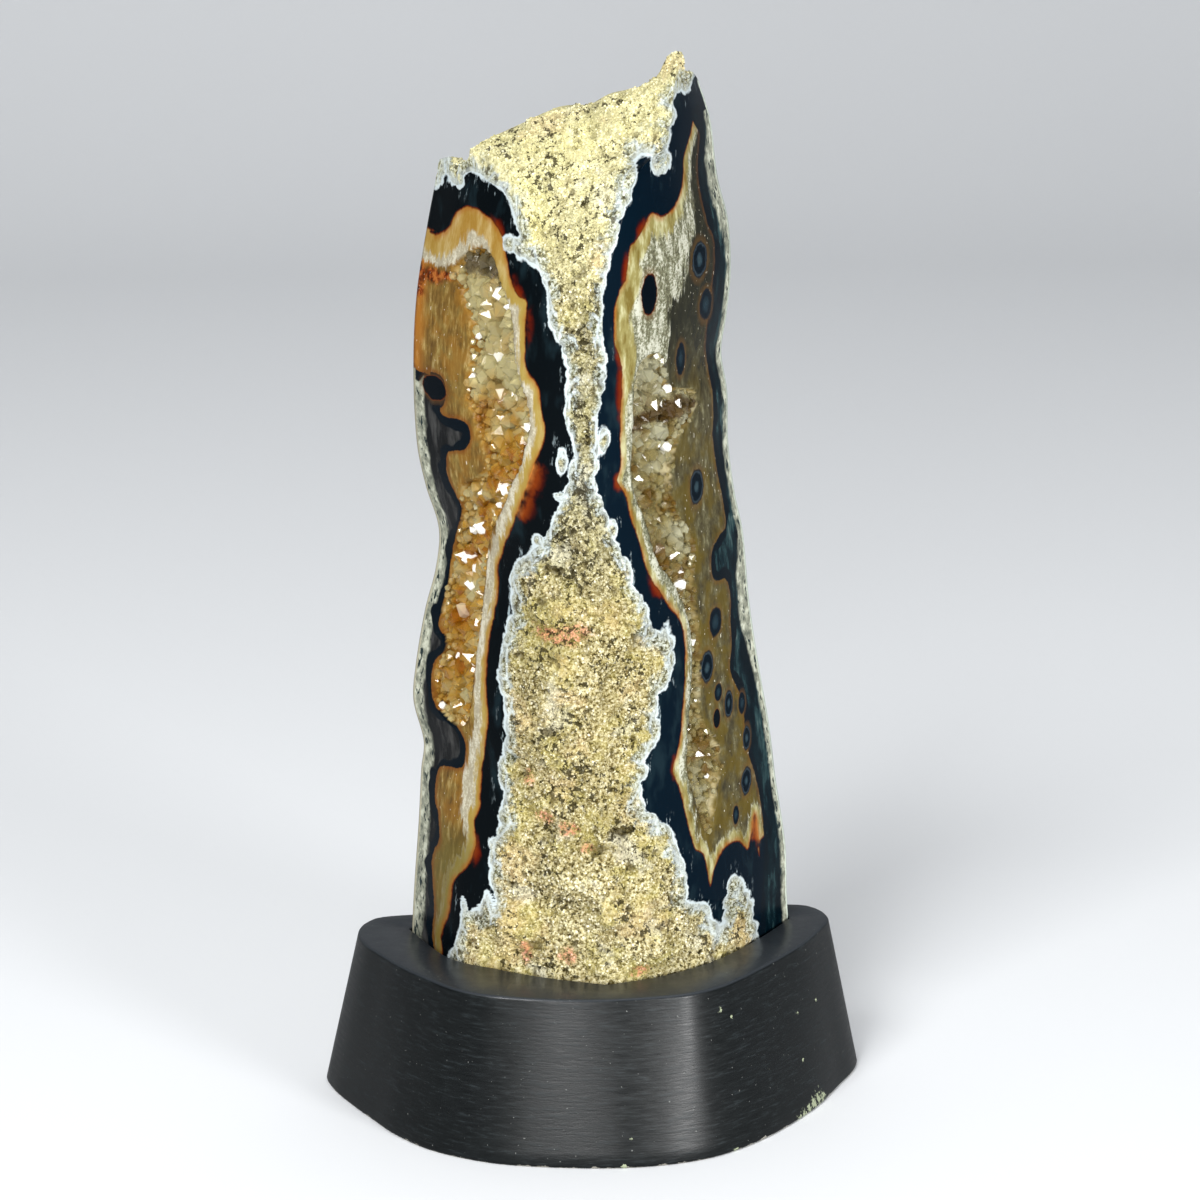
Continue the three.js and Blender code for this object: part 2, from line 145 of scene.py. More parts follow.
# %% [markdown]
# Seen from above, the stone is a rounded triangle: two back corners and a nose at the front. One
# function gives the depth of that surface at any place of the front view. Everything on the front
# is laid on it: the polished cuts follow it exactly, and the rough rock is raised from it. The
# triangle is rounder at the foot, and changes to the sharper one between two heights.

# %% The smooth front surface
PLAN_CHANGE = (46, 124)


def plan_y(x, z):
    """How far back the smooth surface lies at a place of the front view."""
    height = np.maximum(z, STONE_STRAIGHT)
    left = curve_through(LEFT_CORNER, height)
    right = curve_through(RIGHT_CORNER, height)
    nose = curve_through(NOSE_X, height)
    on_left = x < nose
    crossed = np.where(on_left, (x - left) / (nose - left), (right - x) / (right - nose))
    crossed = np.clip(crossed, 0, 1)
    foot_left = curve_through(LEFT_PLAN_FOOT, crossed)
    foot_right = curve_through(RIGHT_PLAN_FOOT, crossed)
    above_left = curve_through(LEFT_PLAN, crossed)
    above_right = curve_through(RIGHT_PLAN, crossed)
    foot = np.where(on_left, foot_left, foot_right)
    above = np.where(on_left, above_left, above_right)
    reached = blend(foot, above, ease(*PLAN_CHANGE, height))
    return CORNER_Y - curve_through(NOSE_DEPTH, height) * reached


# %% [markdown]
# Natural rock is rough at several sizes at once. Value noise gives random heights on a grid with
# smooth ground between them, and cell noise gives rounded grains with grooves between them. Both
# are worked out from a fixed formula, so the stone is the same each time the script runs.

# %% Noise for the rock
FAR = 9.0
GRAIN_REACH = 0.75


def hash_unit(i, j, k, seed):
    """A number from 0 to 1 that looks random but is always the same for the same place."""
    s = np.sin(i * 127.1 + j * 311.7 + k * 191.3 + seed * 74.7) * 43758.5453
    return s - np.floor(s)


def flat_noise(x, z, seed):
    """Smooth random heights between -1 and 1, the same as in the solid model."""
    i, j = np.floor(x), np.floor(z)
    u, v = ease(0, 1, x - i), ease(0, 1, z - j)

    def corner(a, b):
        return 2 * hash_unit(a, b, 0, seed) - 1

    low = blend(corner(i, j), corner(i + 1, j), u)
    high = blend(corner(i, j + 1), corner(i + 1, j + 1), u)
    return blend(low, high, v)


def lumps(x, z, seed):
    """Lumps, pits and ledges: each is a height times noise of a width, in millimetres."""
    ledge = 1.8 * np.abs(flat_noise(x / 40, z / 13, seed + 2))
    wide = 2.8 * flat_noise(x / 15, z / 15, seed)
    return wide + 2.2 * flat_noise(x / 6.5, z / 6.5, seed + 1) - ledge


def grains(points, size, seed):
    """Rounded grains: 1 in the middle of a grain, 0 in the groove round it, and its own number."""
    cell = np.floor(points / size)
    nearest = np.full(len(points), FAR)
    own = np.zeros(len(points))
    for step in np.ndindex(3, 3, 3):
        c = cell + np.array(step) - 1
        jitter = [hash_unit(c[:, 0], c[:, 1], c[:, 2], seed + n) for n in range(3)]
        centre = c + 0.15 + 0.7 * np.stack(jitter, axis=1)
        distance = np.linalg.norm(points / size - centre, axis=1)
        closer = distance < nearest
        nearest = np.where(closer, distance, nearest)
        own = np.where(closer, hash_unit(c[:, 0], c[:, 1], c[:, 2], seed + 7), own)
    return np.clip(1 - nearest ** 2 / GRAIN_REACH, 0, 1), own


# %% [markdown]
# The stone's skin is a grid of rows and columns. Every sheet uses the same rows, so neighbouring
# sheets share their edge points and sew together without a seam. Rows are level up to the
# shoulder. Above it they fan out, because the left cut ends lower than the right one.

# %% Rows and columns
FOOT_ROWS = 6
BODY_ROWS = 262
TOP_ROWS = 50
LEVEL_TOP = 243.0
SOLID_ROWS = 31
FAN_POWER = 0.8
LEFT_COLUMNS = 66
FRONT_COLUMNS = 88
RIGHT_COLUMNS = 70
BACK_COLUMNS = 72
ROWS = FOOT_ROWS + BODY_ROWS + TOP_ROWS


def row_height(row, top):
    """The height of a row in a column that ends at the height top."""
    foot = blend(STONE_FOOT, STONE_STRAIGHT, row / FOOT_ROWS)
    body = blend(STONE_STRAIGHT, LEVEL_TOP, (row - FOOT_ROWS) / BODY_ROWS)
    upper = blend(LEVEL_TOP, top, (row - FOOT_ROWS - BODY_ROWS) / TOP_ROWS)
    return np.where(row <= FOOT_ROWS, foot, np.where(row <= FOOT_ROWS + BODY_ROWS, body, upper))


def risen(z, top):
    """How far up its column a place is, up to 1 at the ridge, as in the solid model's rows."""
    t = np.clip((z - STONE_STRAIGHT) / (top - STONE_STRAIGHT), 0, 1)
    return (1 + (SOLID_ROWS - 1) * (1 - (1 - t) ** FAN_POWER)) / SOLID_ROWS


# %% The two polished sheets and the rough one between them
CUT_ARCH = 1.2
EDGE_FADE = 4.0
FRONT_FOOT_FADE = (46, 52)
TOP_FADE = 0.04
FRONT_SEED, FRONT_LUMP = 3, -0.8
RIDGE_START = 0.8
rows = np.arange(ROWS + 1)[:, None].astype(float)


def polished_sheet(corner, border, across):
    """A cut face, from its back corner to the rough rock, with rows that arch a little."""
    corner_z = row_height(rows, corner[-1][0])
    border_z = row_height(rows, border[-1][0])
    z = blend(corner_z, border_z, across)
    x_corner = curve_through(corner, np.maximum(corner_z, STONE_STRAIGHT))
    x_border = curve_through(border, np.maximum(border_z, STONE_STRAIGHT))
    x = blend(x_corner, x_border, across)
    y = np.where(across == 0, CORNER_Y, plan_y(x, z))
    top = blend(corner[-1][0], border[-1][0], across)
    lift = CUT_ARCH * 4 * across * (1 - across) * risen(z, top)
    return np.stack([x, y, z + lift], axis=2)


def rough_sheet(left, right, across):
    """The rough front between the two cuts, with lumps that fade out towards its edges."""
    points = left[:, None, :] + (right - left)[:, None, :] * across[None, :, None]
    x, y, z = points[..., 0], points[..., 1], points[..., 2]
    full = curve_through(NOSE_FULLNESS, z)
    y = blend(y, plan_y(x, z), full)
    top = blend(LEFT_TOP, RIGHT_TOP, across)
    share = risen(z, top)
    to_edge = np.minimum(across, 1 - across) * (right[:, :1] - left[:, :1])
    away = ease(0, EDGE_FADE, to_edge) * ease(*FRONT_FOOT_FADE, z) * ease(0, TOP_FADE, 1 - share)
    y = y - away * (lumps(x, z, FRONT_SEED) + FRONT_LUMP)
    rise = ease(RIDGE_START, 1, share)
    level_ridge = blend(RIDGE_Y[0][1], RIDGE_Y[-1][1], across)
    y = y + (curve_through(RIDGE_Y, x) - level_ridge) * rise
    z = z + (curve_through(RIDGE, x) - top) * rise
    return np.stack([x, y, z], axis=2)


left_cut = polished_sheet(LEFT_CORNER, LEFT_BORDER, np.arange(LEFT_COLUMNS + 1) / LEFT_COLUMNS)
right_cut = polished_sheet(RIGHT_CORNER, RIGHT_BORDER, np.arange(RIGHT_COLUMNS + 1) / RIGHT_COLUMNS)
front_across = np.arange(FRONT_COLUMNS + 1) / FRONT_COLUMNS
rough_front = rough_sheet(left_cut[:, -1], right_cut[:, -1], front_across)
front = np.concatenate([left_cut[:, :-1], rough_front, right_cut[:, -2::-1]], axis=1)
print("front of the stone:", front.shape[0], "rows of", front.shape[1], "points")


# %% [markdown]
# The back was never cut. It is natural rind, a little bulged, and it rounds over into the ridge.
# The photograph doesn't show it, so it is a plain guess of the same rock.

# %% The rind at the back
EVEN_TO_ROUND = 0.35
BULGE_POWER = 0.6
BACK_FOOT_FADE = (46, 56)
BACK_SEED, BACK_LUMP = 11, 0.4


def back_sheet(front_points):
    """Fewer columns than the front, between the same two corners and under the same ridge."""
    spread = 0.5 - 0.5 * np.cos(np.pi * np.arange(BACK_COLUMNS + 1) / BACK_COLUMNS)
    across = blend(np.arange(BACK_COLUMNS + 1) / BACK_COLUMNS, spread, EVEN_TO_ROUND)
    along = np.arange(front_points.shape[1])
    picks = []
    for row in range(ROWS + 1):
        x = front_points[row, :, 0]
        share = (x - x[0]) / (x[-1] - x[0])
        order = np.maximum.accumulate(share)
        picks.append(np.interp(across, order, along))
    picks = np.array(picks)
    level = np.arange(ROWS + 1)[:, None]
    low = np.clip(np.floor(picks).astype(int), 0, front_points.shape[1] - 2)
    part = (picks - low)[..., None]
    at_front = front_points[level, low] * (1 - part) + front_points[level, low + 1] * part
    crest = at_front[-1]
    x, z = at_front[..., 0], at_front[..., 2]
    bulge = np.sin(np.pi * np.clip(across, 0, 1)) ** BULGE_POWER
    below = np.clip((crest[None, :, 2] - z) / BACK_ROUNDING, 0, 1)
    rounding = np.sqrt(1 - (1 - below) ** 2)
    away = bulge * ease(*BACK_FOOT_FADE, z) * rounding
    flat = CORNER_Y + BACK_BULGE * bulge + away * (lumps(x, z, BACK_SEED) + BACK_LUMP)
    y = blend(np.broadcast_to(crest[None, :, 1], x.shape), flat, rounding)
    sheet = np.stack([x, y, z], axis=2)
    sheet[-1] = at_front[-1]
    sheet[:, 0] = front_points[:, 0]
    sheet[:, -1] = front_points[:, -1]
    return sheet


back = back_sheet(front)
print("back of the stone:", back.shape[1], "columns")


# %% [markdown]
# The pattern of the cut agate is drawn as outlines on the front view: where rough rock ends,
# where the dark band ends, where the quartz meets the outer rim, and where the hollows open. Each
# point of the mesh then stores how far it is from each outline. A material turns such distances
# into bands of any width, and its lines stay sharp, because a distance changes evenly from point
# to point. A painted image would need far more points for the same edge.

# %% Where the rough rock lies on the front, in millimetres
ROCK_LEFT = [
    (-44, 30), (-41.8, 44.5), (-39.5, 51.7), (-38.6, 57), (-38.2, 62.8), (-36.9, 58.5), (-35.1, 61),
    (-33.3, 60.5), (-32.2, 66.5), (-31, 61.5), (-29.3, 64.2), (-30.6, 69), (-30.6, 75.7),
    (-31, 79.3), (-28.2, 84.5), (-28.1, 90), (-26.8, 94.3), (-28.5, 100.8), (-27.1, 106.9),
    (-26.6, 110.8), (-26.7, 120.3), (-28.2, 127.4), (-27.5, 134.8), (-26, 142), (-24.5, 147),
    (-24.8, 156.9), (-21.9, 162), (-17.2, 167.6), (-14.1, 175.5), (-11.5, 182.2), (-10.3, 188),
    (-8.9, 195.2), (-11.5, 201.2), (-11, 209.5), (-10.6, 214.5), (-11.6, 219.5), (-14.9, 226.4),
    (-15.3, 232), (-16.8, 237.5), (-18.4, 241.5), (-22.6, 243.4), (-25.3, 246.5), (-22.8, 248),
    (-23.5, 254.4), (-25.6, 258.6), (-28.1, 260.3), (-31.1, 261.6), (-33.8, 262.6),
    (-35.2, 261.6), (-36.3, 258.6), (-38.3, 258.2), (-39.6, 259.6), (-39.9, 263), (-40.3, 259.6),
    (-41.4, 257.2), (-43.4, 255.4), (-42.6, 259.5), (-44, 266),
]
ROCK_RIGHT = [
    (36, 296), (28.4, 289), (26.4, 284.8), (23.4, 282.4), (20.4, 283.4), (18.2, 282),
    (18.4, 277.5), (16.1, 271.6), (16.7, 267.5), (15.2, 263.6), (12.6, 265), (11.2, 269.4),
    (8.9, 270.3), (6.9, 267), (5.6, 260.6), (2.4, 254.5), (1.6, 250), (0.2, 247), (-1.2, 240.9),
    (-2.4, 234.8), (-2.4, 229.6), (-2.2, 220.8), (-1.8, 213.3), (-3, 206.8), (-4, 201),
    (-3.6, 192.5), (-4.4, 184.6), (-1.6, 177.9), (-0.2, 172), (2.4, 166.4), (5, 162), (6.5, 154.8),
    (9.4, 151), (10.9, 145.4), (13.2, 141.8), (16.9, 139), (18.2, 134.5), (16.9, 127.8),
    (13.4, 124), (12.8, 119.7), (13.9, 115), (12.6, 110.3), (9.4, 107), (9.9, 103.3), (8.1, 99.5),
    (9.9, 93.3), (13.4, 89.9), (17, 85.5), (19.4, 79.4), (21.8, 73), (22.2, 63.8), (26.5, 62),
    (28.8, 59.9), (29.9, 55.4), (32.2, 53.4), (34.4, 52.2), (34.4, 60), (35.2, 65), (36.9, 66.2),
    (38.9, 64), (40.5, 60.1), (42.3, 56.6), (42.9, 51.5), (44.4, 46.5), (47, 30),
]

# %% The inner edge of the dark band, and the edge of the quartz against the outer rim
BAND_LEFT = [
    (-80, 246), (-46, 244.6), (-44, 243.6), (-42.2, 243.8), (-39.7, 246.4), (-37.6, 251),
    (-34.6, 253.2), (-31.6, 252.6), (-28.6, 250.6), (-26.5, 247), (-25.7, 242), (-25, 237.5),
    (-23, 233.2), (-20.9, 231.8), (-21.4, 223.9), (-21.4, 214.8), (-19.4, 211.6), (-17.9, 209),
    (-17.5, 203.6), (-16.5, 199), (-17.2, 194.4), (-19.2, 189), (-23.7, 173.5), (-26, 165.8),
    (-27.9, 158), (-28.3, 149.3), (-30.7, 136.4), (-31.5, 124), (-31.1, 114.6), (-31.9, 107),
    (-33, 95.7), (-33.2, 89.4), (-34.8, 85.3), (-34.5, 79), (-36.4, 72.4), (-40.2, 66.6),
    (-41.7, 57), (-43.8, 48.6), (-45.5, 30), (-80, 30),
]
BAND_RIGHT = [
    (29.3, 66.2), (30.4, 70.4), (32.2, 73.6), (35, 75.7), (38.2, 75.2), (41.2, 71.8),
    (42.6, 74.9), (43.8, 80), (44.7, 74.5), (45.9, 67), (47.2, 73), (80, 73),
    (80, 276), (60, 276), (40, 276), (30, 276), (26.6, 275.6), (24.9, 274), (23.6, 271),
    (21.6, 266), (21, 260), (19.6, 256.6), (17, 253.8),
    (14, 253.4), (11.4, 254.8), (9.8, 252.7), (7.2, 248.5), (5, 246.6), (4.1, 239.4),
    (2.4, 235.7), (0.9, 230.7), (0.9, 222.5), (2.9, 215.3), (2.7, 204.2), (2.4, 196.2),
    (2.8, 189.3), (1.6, 185.1), (3.9, 181.2), (5.3, 175.7), (8.2, 166.9), (10.6, 158.5),
    (15.7, 149.4), (19.2, 144.4), (21.4, 138.2), (21.6, 128.3), (20.2, 111.4), (18, 102.4),
    (20.4, 95), (22.4, 86.2), (24.4, 78.6), (26.9, 76.2), (28.3, 71),
]
RIM_LEFT = [
    (-80, 206.8), (-47.9, 205.6), (-44.9, 206.8), (-42.2, 206.4), (-41.1, 204), (-41.4, 199.6),
    (-42.6, 197.2), (-41.6, 195.8), (-38.6, 196.2), (-36.1, 195.7), (-35.1, 193.2),
    (-35.4, 190.4), (-37.2, 187.9), (-40.2, 186.4), (-41.1, 184.1), (-40.7, 178.7),
    (-38.9, 174.8), (-37.2, 170.6), (-38.1, 163), (-39.6, 155), (-40.9, 146.1), (-43, 138),
    (-43.1, 134.9), (-41.7, 133), (-41.8, 129.6), (-44.6, 125.6), (-45.5, 118), (-44.3, 113.2),
    (-41.3, 112), (-38.4, 109.4), (-37, 105.5), (-37.2, 100), (-38.6, 98), (-42.3, 96.4),
    (-44.2, 93.4), (-44.9, 86.3), (-44.2, 82.6), (-44, 76), (-45.4, 71.4), (-46, 66.1),
    (-45.6, 55.9), (-46.2, 46.6), (-46.6, 30), (-80, 30),
]
RIM_RIGHT = [
    (80, 278), (28.5, 278), (27.4, 270), (26.4, 262), (27.2, 255), (29.2, 247), (31.2, 242.4),
    (31.6, 236), (30.6, 229), (29.4, 220.2), (29.2, 212.4), (30.2, 206), (31.3, 199.8),
    (31.6, 190.9), (31.4, 187.6), (33, 177.8), (34.9, 168), (35.4, 162.5), (33, 161), (30.6, 158),
    (30.2, 153), (31.6, 149.6), (35.4, 148), (36.8, 142), (36.6, 137), (36.9, 130), (36.2, 124),
    (37.6, 119), (40, 114), (40.9, 106), (42, 98), (43.9, 92), (46, 82), (47, 70), (48, 30),
    (80, 30),
]

# %% The openings of the hollows: height, left edge, right edge
LEFT_HOLLOW = [
    (242.5, -33.4, -30.2), (239, -37.4, -28.2), (235.5, -39, -27.6), (231, -37.6, -26),
    (225, -36, -24.7), (216, -35, -24.2), (208, -36.4, -22.4), (203, -36.6, -21),
    (198, -34.8, -20.8), (192, -32.8, -22), (187, -31.8, -23.2), (182, -33.4, -25.2),
    (177, -37.6, -26.6), (170, -37, -29), (164, -37.8, -30.4), (155, -39.4, -31.2),
    (146, -40.9, -32.2), (138, -42.8, -33.2), (131, -41.7, -34.2), (124, -44.4, -35),
    (116, -45, -35.8), (111, -41.5, -37.5),
]
RIGHT_HOLLOW = [
    (216.5, 9.4, 14.6), (212, 7, 16), (207, 6.7, 17.4), (203.5, 6.6, 24.6), (200, 6.5, 26.4),
    (196, 6.3, 24), (192, 6, 20.4), (186, 6.3, 18.4), (180, 7.2, 18), (174, 9.6, 18.8),
    (170, 10.9, 21.2), (165, 12.2, 24.6), (160, 14, 25.4), (155, 17.6, 24.8), (148, 21, 25),
    (138, 23.7, 26.4), (126, 23.9, 26.8), (116, 23, 26.6), (110, 22.6, 29), (104, 22.4, 32.6),
    (98, 23.2, 33.3), (92, 24.8, 31.6), (86, 26.4, 30.6), (82, 28, 29.6),
]


# %% [markdown]
# A distance to an outline is the shortest way to any of its straight pieces. The cut faces run
# back from the viewer at about 54 degrees, so a millimetre across the front view is about 1.65 on
# the stone. Distances are measured with that stretch, and bands then keep one width on the stone.
# The rock's edge grew as small rounded lobes, so its outline gets scallops before it is measured.

# %% Outlines and distances
FACE_STRETCH = 1.65
OUTLINE_STEPS = 5
LOBE_STEP = 0.45


def smooth_outline(points, steps=OUTLINE_STEPS):
    """A closed smooth line through the points."""
    p = np.array(points, float)
    before, after, beyond = np.roll(p, 1, 0), np.roll(p, -1, 0), np.roll(p, -2, 0)
    pieces = []
    for t in np.arange(steps) / steps:
        pieces.append(0.5 * (2 * p + (after - before) * t
                             + (2 * before - 5 * p + 4 * after - beyond) * t ** 2
                             + (3 * p - before - 3 * after + beyond) * t ** 3))
    return np.stack(pieces, axis=1).reshape(-1, 2)


def even_steps(line, step):
    """The same line with points an even step apart, and how far along it each one is."""
    along = np.concatenate([[0], np.cumsum(np.linalg.norm(np.diff(line, axis=0), axis=1))])
    at = np.arange(0, along[-1], step)
    return np.stack([np.interp(at, along, line[:, n]) for n in range(2)], axis=1), at


def scalloped(line, depth, length, seed):
    """Small uneven lobes along a line: rounded outwards, with sharp notches between them."""
    line, at = even_steps(line, LOBE_STEP)
    side = np.gradient(line, axis=0)
    side /= np.linalg.norm(side, axis=1, keepdims=True)
    outward = np.stack([-side[:, 1], side[:, 0]], axis=1)
    phase = at / length + 1.1 * flat_noise(at / length / 2.5, at * 0, seed)
    size = 0.7 + 0.6 * flat_noise(at / length / 1.7, at * 0 + 9, seed)
    lobe = np.sqrt(np.abs(np.sin(np.pi * phase))) - 0.6
    return line + outward * (depth * size * lobe)[:, None]


def distance_to(line, x, z):
    """How far the places are from a closed line: more than 0 inside it, less outside it."""
    a = line * [FACE_STRETCH, 1]
    b = np.roll(a, -1, 0)
    px, pz = x * FACE_STRETCH, z
    nearest = np.full(x.shape, 1e9)
    inside = np.zeros(x.shape, bool)
    for (ax, az), (bx, bz) in zip(a, b):
        dx, dz = bx - ax, bz - az
        t = np.clip(((px - ax) * dx + (pz - az) * dz) / (dx * dx + dz * dz + 1e-12), 0, 1)
        nearest = np.minimum(nearest, (px - ax - t * dx) ** 2 + (pz - az - t * dz) ** 2)
        if az != bz:
            crosses = (az > pz) != (bz > pz)
            inside ^= crosses & (px < ax + dx * (pz - az) / dz)
    return np.where(inside, 1, -1) * np.sqrt(nearest)


def hollow_outline(hollow):
    """The opening of a hollow as one closed line, up its left side and down its right."""
    left = [(x_left, z) for z, x_left, _ in reversed(hollow)]
    right = [(x_right, z) for z, _, x_right in hollow]
    return smooth_outline(left + right, 4)


# %% The rock's outline, closed well above and well below the stone
LOBE_DEPTH = 1.4
LOBE_LENGTH = 5.6
WELL_ABOVE, WELL_BELOW = 400, -50
rock_sides = [scalloped(smooth_outline(side)[:-OUTLINE_STEPS], LOBE_DEPTH, LOBE_LENGTH, seed)
              for side, seed in ((ROCK_LEFT, 21), (ROCK_RIGHT, 22))]
over = [(ROCK_LEFT[-1][0], WELL_ABOVE), (ROCK_RIGHT[0][0], WELL_ABOVE)]
under = [(ROCK_RIGHT[-1][0], WELL_BELOW), (ROCK_LEFT[0][0], WELL_BELOW)]
rock_line = np.concatenate([rock_sides[0], over, rock_sides[1], under])
print("rock outline:", len(rock_line), "points")


# %% [markdown]
# Round eyes are a mark of agate: rods of mineral grew inwards and the cut went through them. Each
# eye is a place, two half sizes and a tone. Its rings come from one number, which is 0 in its
# middle and 1 at its edge. Patches where light glows red through the band, small islands of rind
# in it, red stains, and the pits of the rock are listed the same way.

# %% Eyes, glows, islands of rind and stains: x, height, half width, half height
DARK_EYE, GREY_EYE, RINGED_EYE = 0.0, 0.5, 1.0
EYES = [
    (10.7, 233.5, 2.3, 5.6, DARK_EYE), (26.3, 238.6, 2.6, 5.0, RINGED_EYE),
    (28.6, 225.4, 2.2, 4.6, GREY_EYE), (20.6, 213.2, 1.5, 4.6, GREY_EYE),
    (25.8, 176.9, 2.4, 4.9, RINGED_EYE), (31.6, 138.2, 2.0, 4.1, GREY_EYE),
    (28.7, 127.1, 2.1, 4.5, RINGED_EYE), (32.2, 118.8, 1.2, 2.5, GREY_EYE),
    (35.6, 114.4, 1.5, 3.9, RINGED_EYE), (31.6, 112, 1.1, 2.7, DARK_EYE),
    (41.4, 102.5, 1.3, 3.4, RINGED_EYE), (41.2, 90.8, 1.8, 4.0, RINGED_EYE),
    (37.6, 82.9, 1.0, 2.6, GREY_EYE), (40.0, 112.5, 1.2, 3.0, GREY_EYE),
    (-43.9, 202.6, 2.9, 3.4, DARK_EYE),
]
GLOWS = [
    (-18.3, 183.5, 4.2, 6.4, 1.0), (-20.3, 175.8, 3.4, 5.2, 1.0), (-27.4, 250.0, 2.4, 3.2, 0.35),
    (-22.8, 234.9, 1.6, 5.0, 0.35), (-19.6, 225.0, 1.6, 6.0, 0.5), (-34.3, 76.5, 1.5, 4.4, 0.5),
    (2.0, 211.4, 1.9, 8.6, 0.4), (2.3, 185.3, 1.8, 2.7, 0.5), (3.6, 240.9, 1.5, 4.9, 0.3),
    (8.0, 252.0, 1.9, 4.4, 0.3), (12.4, 153.5, 2.6, 4.3, 0.4), (18.6, 102.9, 1.5, 3.5, 0.45),
    (44.4, 76.5, 1.7, 5.4, 0.8), (35.9, 134.6, 1.1, 3.2, 0.5),
]
ISLANDS = [
    (-12.5, 190.5, 1.1, 3.0), (-13.0, 180.9, 1.4, 1.1), (-25.1, 245.7, 1.4, 1.9),
    (-18.4, 168.0, 1.1, 1.4), (0.7, 172.5, 1.1, 2.4), (-1.8, 196.8, 1.4, 3.2),
    (15.4, 136.3, 1.6, 5.9),
]
STAINS = [
    (-13.0, 143.2, 8.1, 3.2), (-8.7, 143.9, 3.8, 2.7), (-10.4, 87.8, 3.2, 2.7),
    (-16.6, 89.9, 2.7, 2.2), (-22.1, 50.9, 2.2, 3.8), (-10.8, 51.3, 2.7, 3.0),
    (-5.7, 82.8, 2.2, 1.6), (-20.9, 101.2, 1.9, 2.4), (8.6, 47.1, 3.8, 1.6),
    (0.3, 241.7, 1.6, 1.1), (8.1, 259.7, 1.4, 1.6), (-1.3, 233.8, 2.2, 1.4),
    (-47.5, 232.0, 3.0, 3.4), (-43.8, 232.6, 2.8, 2.4), (-40.4, 233.6, 2.2, 1.3),
    (-47.4, 227.8, 1.6, 2.4),
]

# %% Pits and swells of the rough rock: x, height, half width, half height, rise
PITS = [
    (-25.0, 104.6, 0.9, 1.5, -1.2), (-26.7, 99.9, 0.9, 1.2, -1.2), (-21.9, 101.8, 1.5, 1.2, -1.4),
    (-25.1, 69.8, 2.5, 1.2, -1.8), (-20.0, 53.6, 2.6, 1.5, -2.0), (-14.7, 159.6, 3.2, 1.6, -2.0),
    (-16.6, 115.1, 2.7, 1.4, -1.8), (-13.7, 78.6, 1.6, 1.1, -1.4), (-17.9, 151.5, 1.9, 1.1, -1.4),
    (-23.0, 135.2, 1.4, 1.6, -1.6), (3.1, 87.6, 3.8, 1.8, -3.0), (5.7, 65.7, 1.6, 0.9, -1.3),
    (18.2, 65.3, 1.2, 2.0, -1.8), (17.4, 59.5, 0.9, 1.7, -1.4), (6.2, 77.1, 2.2, 1.6, -1.8),
    (-2.9, 82.4, 2.7, 1.6, -1.8), (6.7, 113.2, 1.2, 1.2, -1.5), (7.0, 141.3, 1.4, 1.4, -1.6),
    (9.2, 138.4, 1.2, 1.0, -1.4), (-6.8, 162.9, 1.2, 1.5, -1.5), (-5.0, 209.8, 1.2, 1.5, -1.4),
    (-6.1, 197.1, 1.0, 1.5, -1.4),
]
SWELLS = [
    (3.4, 90.6, 6.5, 1.3, 1.5), (-21.0, 57.2, 5.0, 1.6, 1.6), (-9.0, 75.0, 8.0, 8.0, 1.8),
    (-20.0, 88.0, 6.5, 7.0, -1.6), (-3.0, 112.0, 9.0, 6.0, 1.2), (-12.0, 128.0, 7.0, 5.0, 1.0),
    (2.0, 132.0, 6.0, 8.0, -1.0), (10.0, 56.0, 8.0, 6.0, 1.2),
]


def nearest_spot(spots, x, z):
    """The least of the spots' numbers at each place, and which spot it belongs to."""
    found = np.full(x.shape, FAR)
    which = np.zeros(x.shape, int)
    for n, (sx, sz, half_wide, half_high) in enumerate(spots):
        number = np.hypot((x - sx) / half_wide, (z - sz) / half_high)
        which = np.where(number < found, n, which)
        found = np.minimum(found, number)
    return found, which


# %% How wide the cream and the sugary layers are, by height
CREAM_LEFT = [(46, 3), (80, 3.4), (110, 2.6), (160, 2), (192, 3.6), (225, 3), (240, 6), (264, 7)]
SUGAR_LEFT = [(46, 0.4), (78, 0.6), (88, 3.4), (98, 4.6), (107, 3.6), (114, 3), (240, 3),
              (264, 4)]
CREAM_RIGHT = [(60, 4), (80, 3), (104, 2.4), (126, 1.5), (160, 2.6), (196, 2.4), (206, 3.6),
               (222, 8), (245, 6), (258, 3.4), (290, 2)]
SUGAR_RIGHT = [(60, 0), (80, 0.3), (92, 1.8), (104, 3), (126, 2.4), (160, 3.4), (200, 4),
               (207, 11), (215, 15), (230, 15.4), (240, 9.5), (250, 6), (258, 2), (290, 1)]
ISLAND_RISE = 2.0


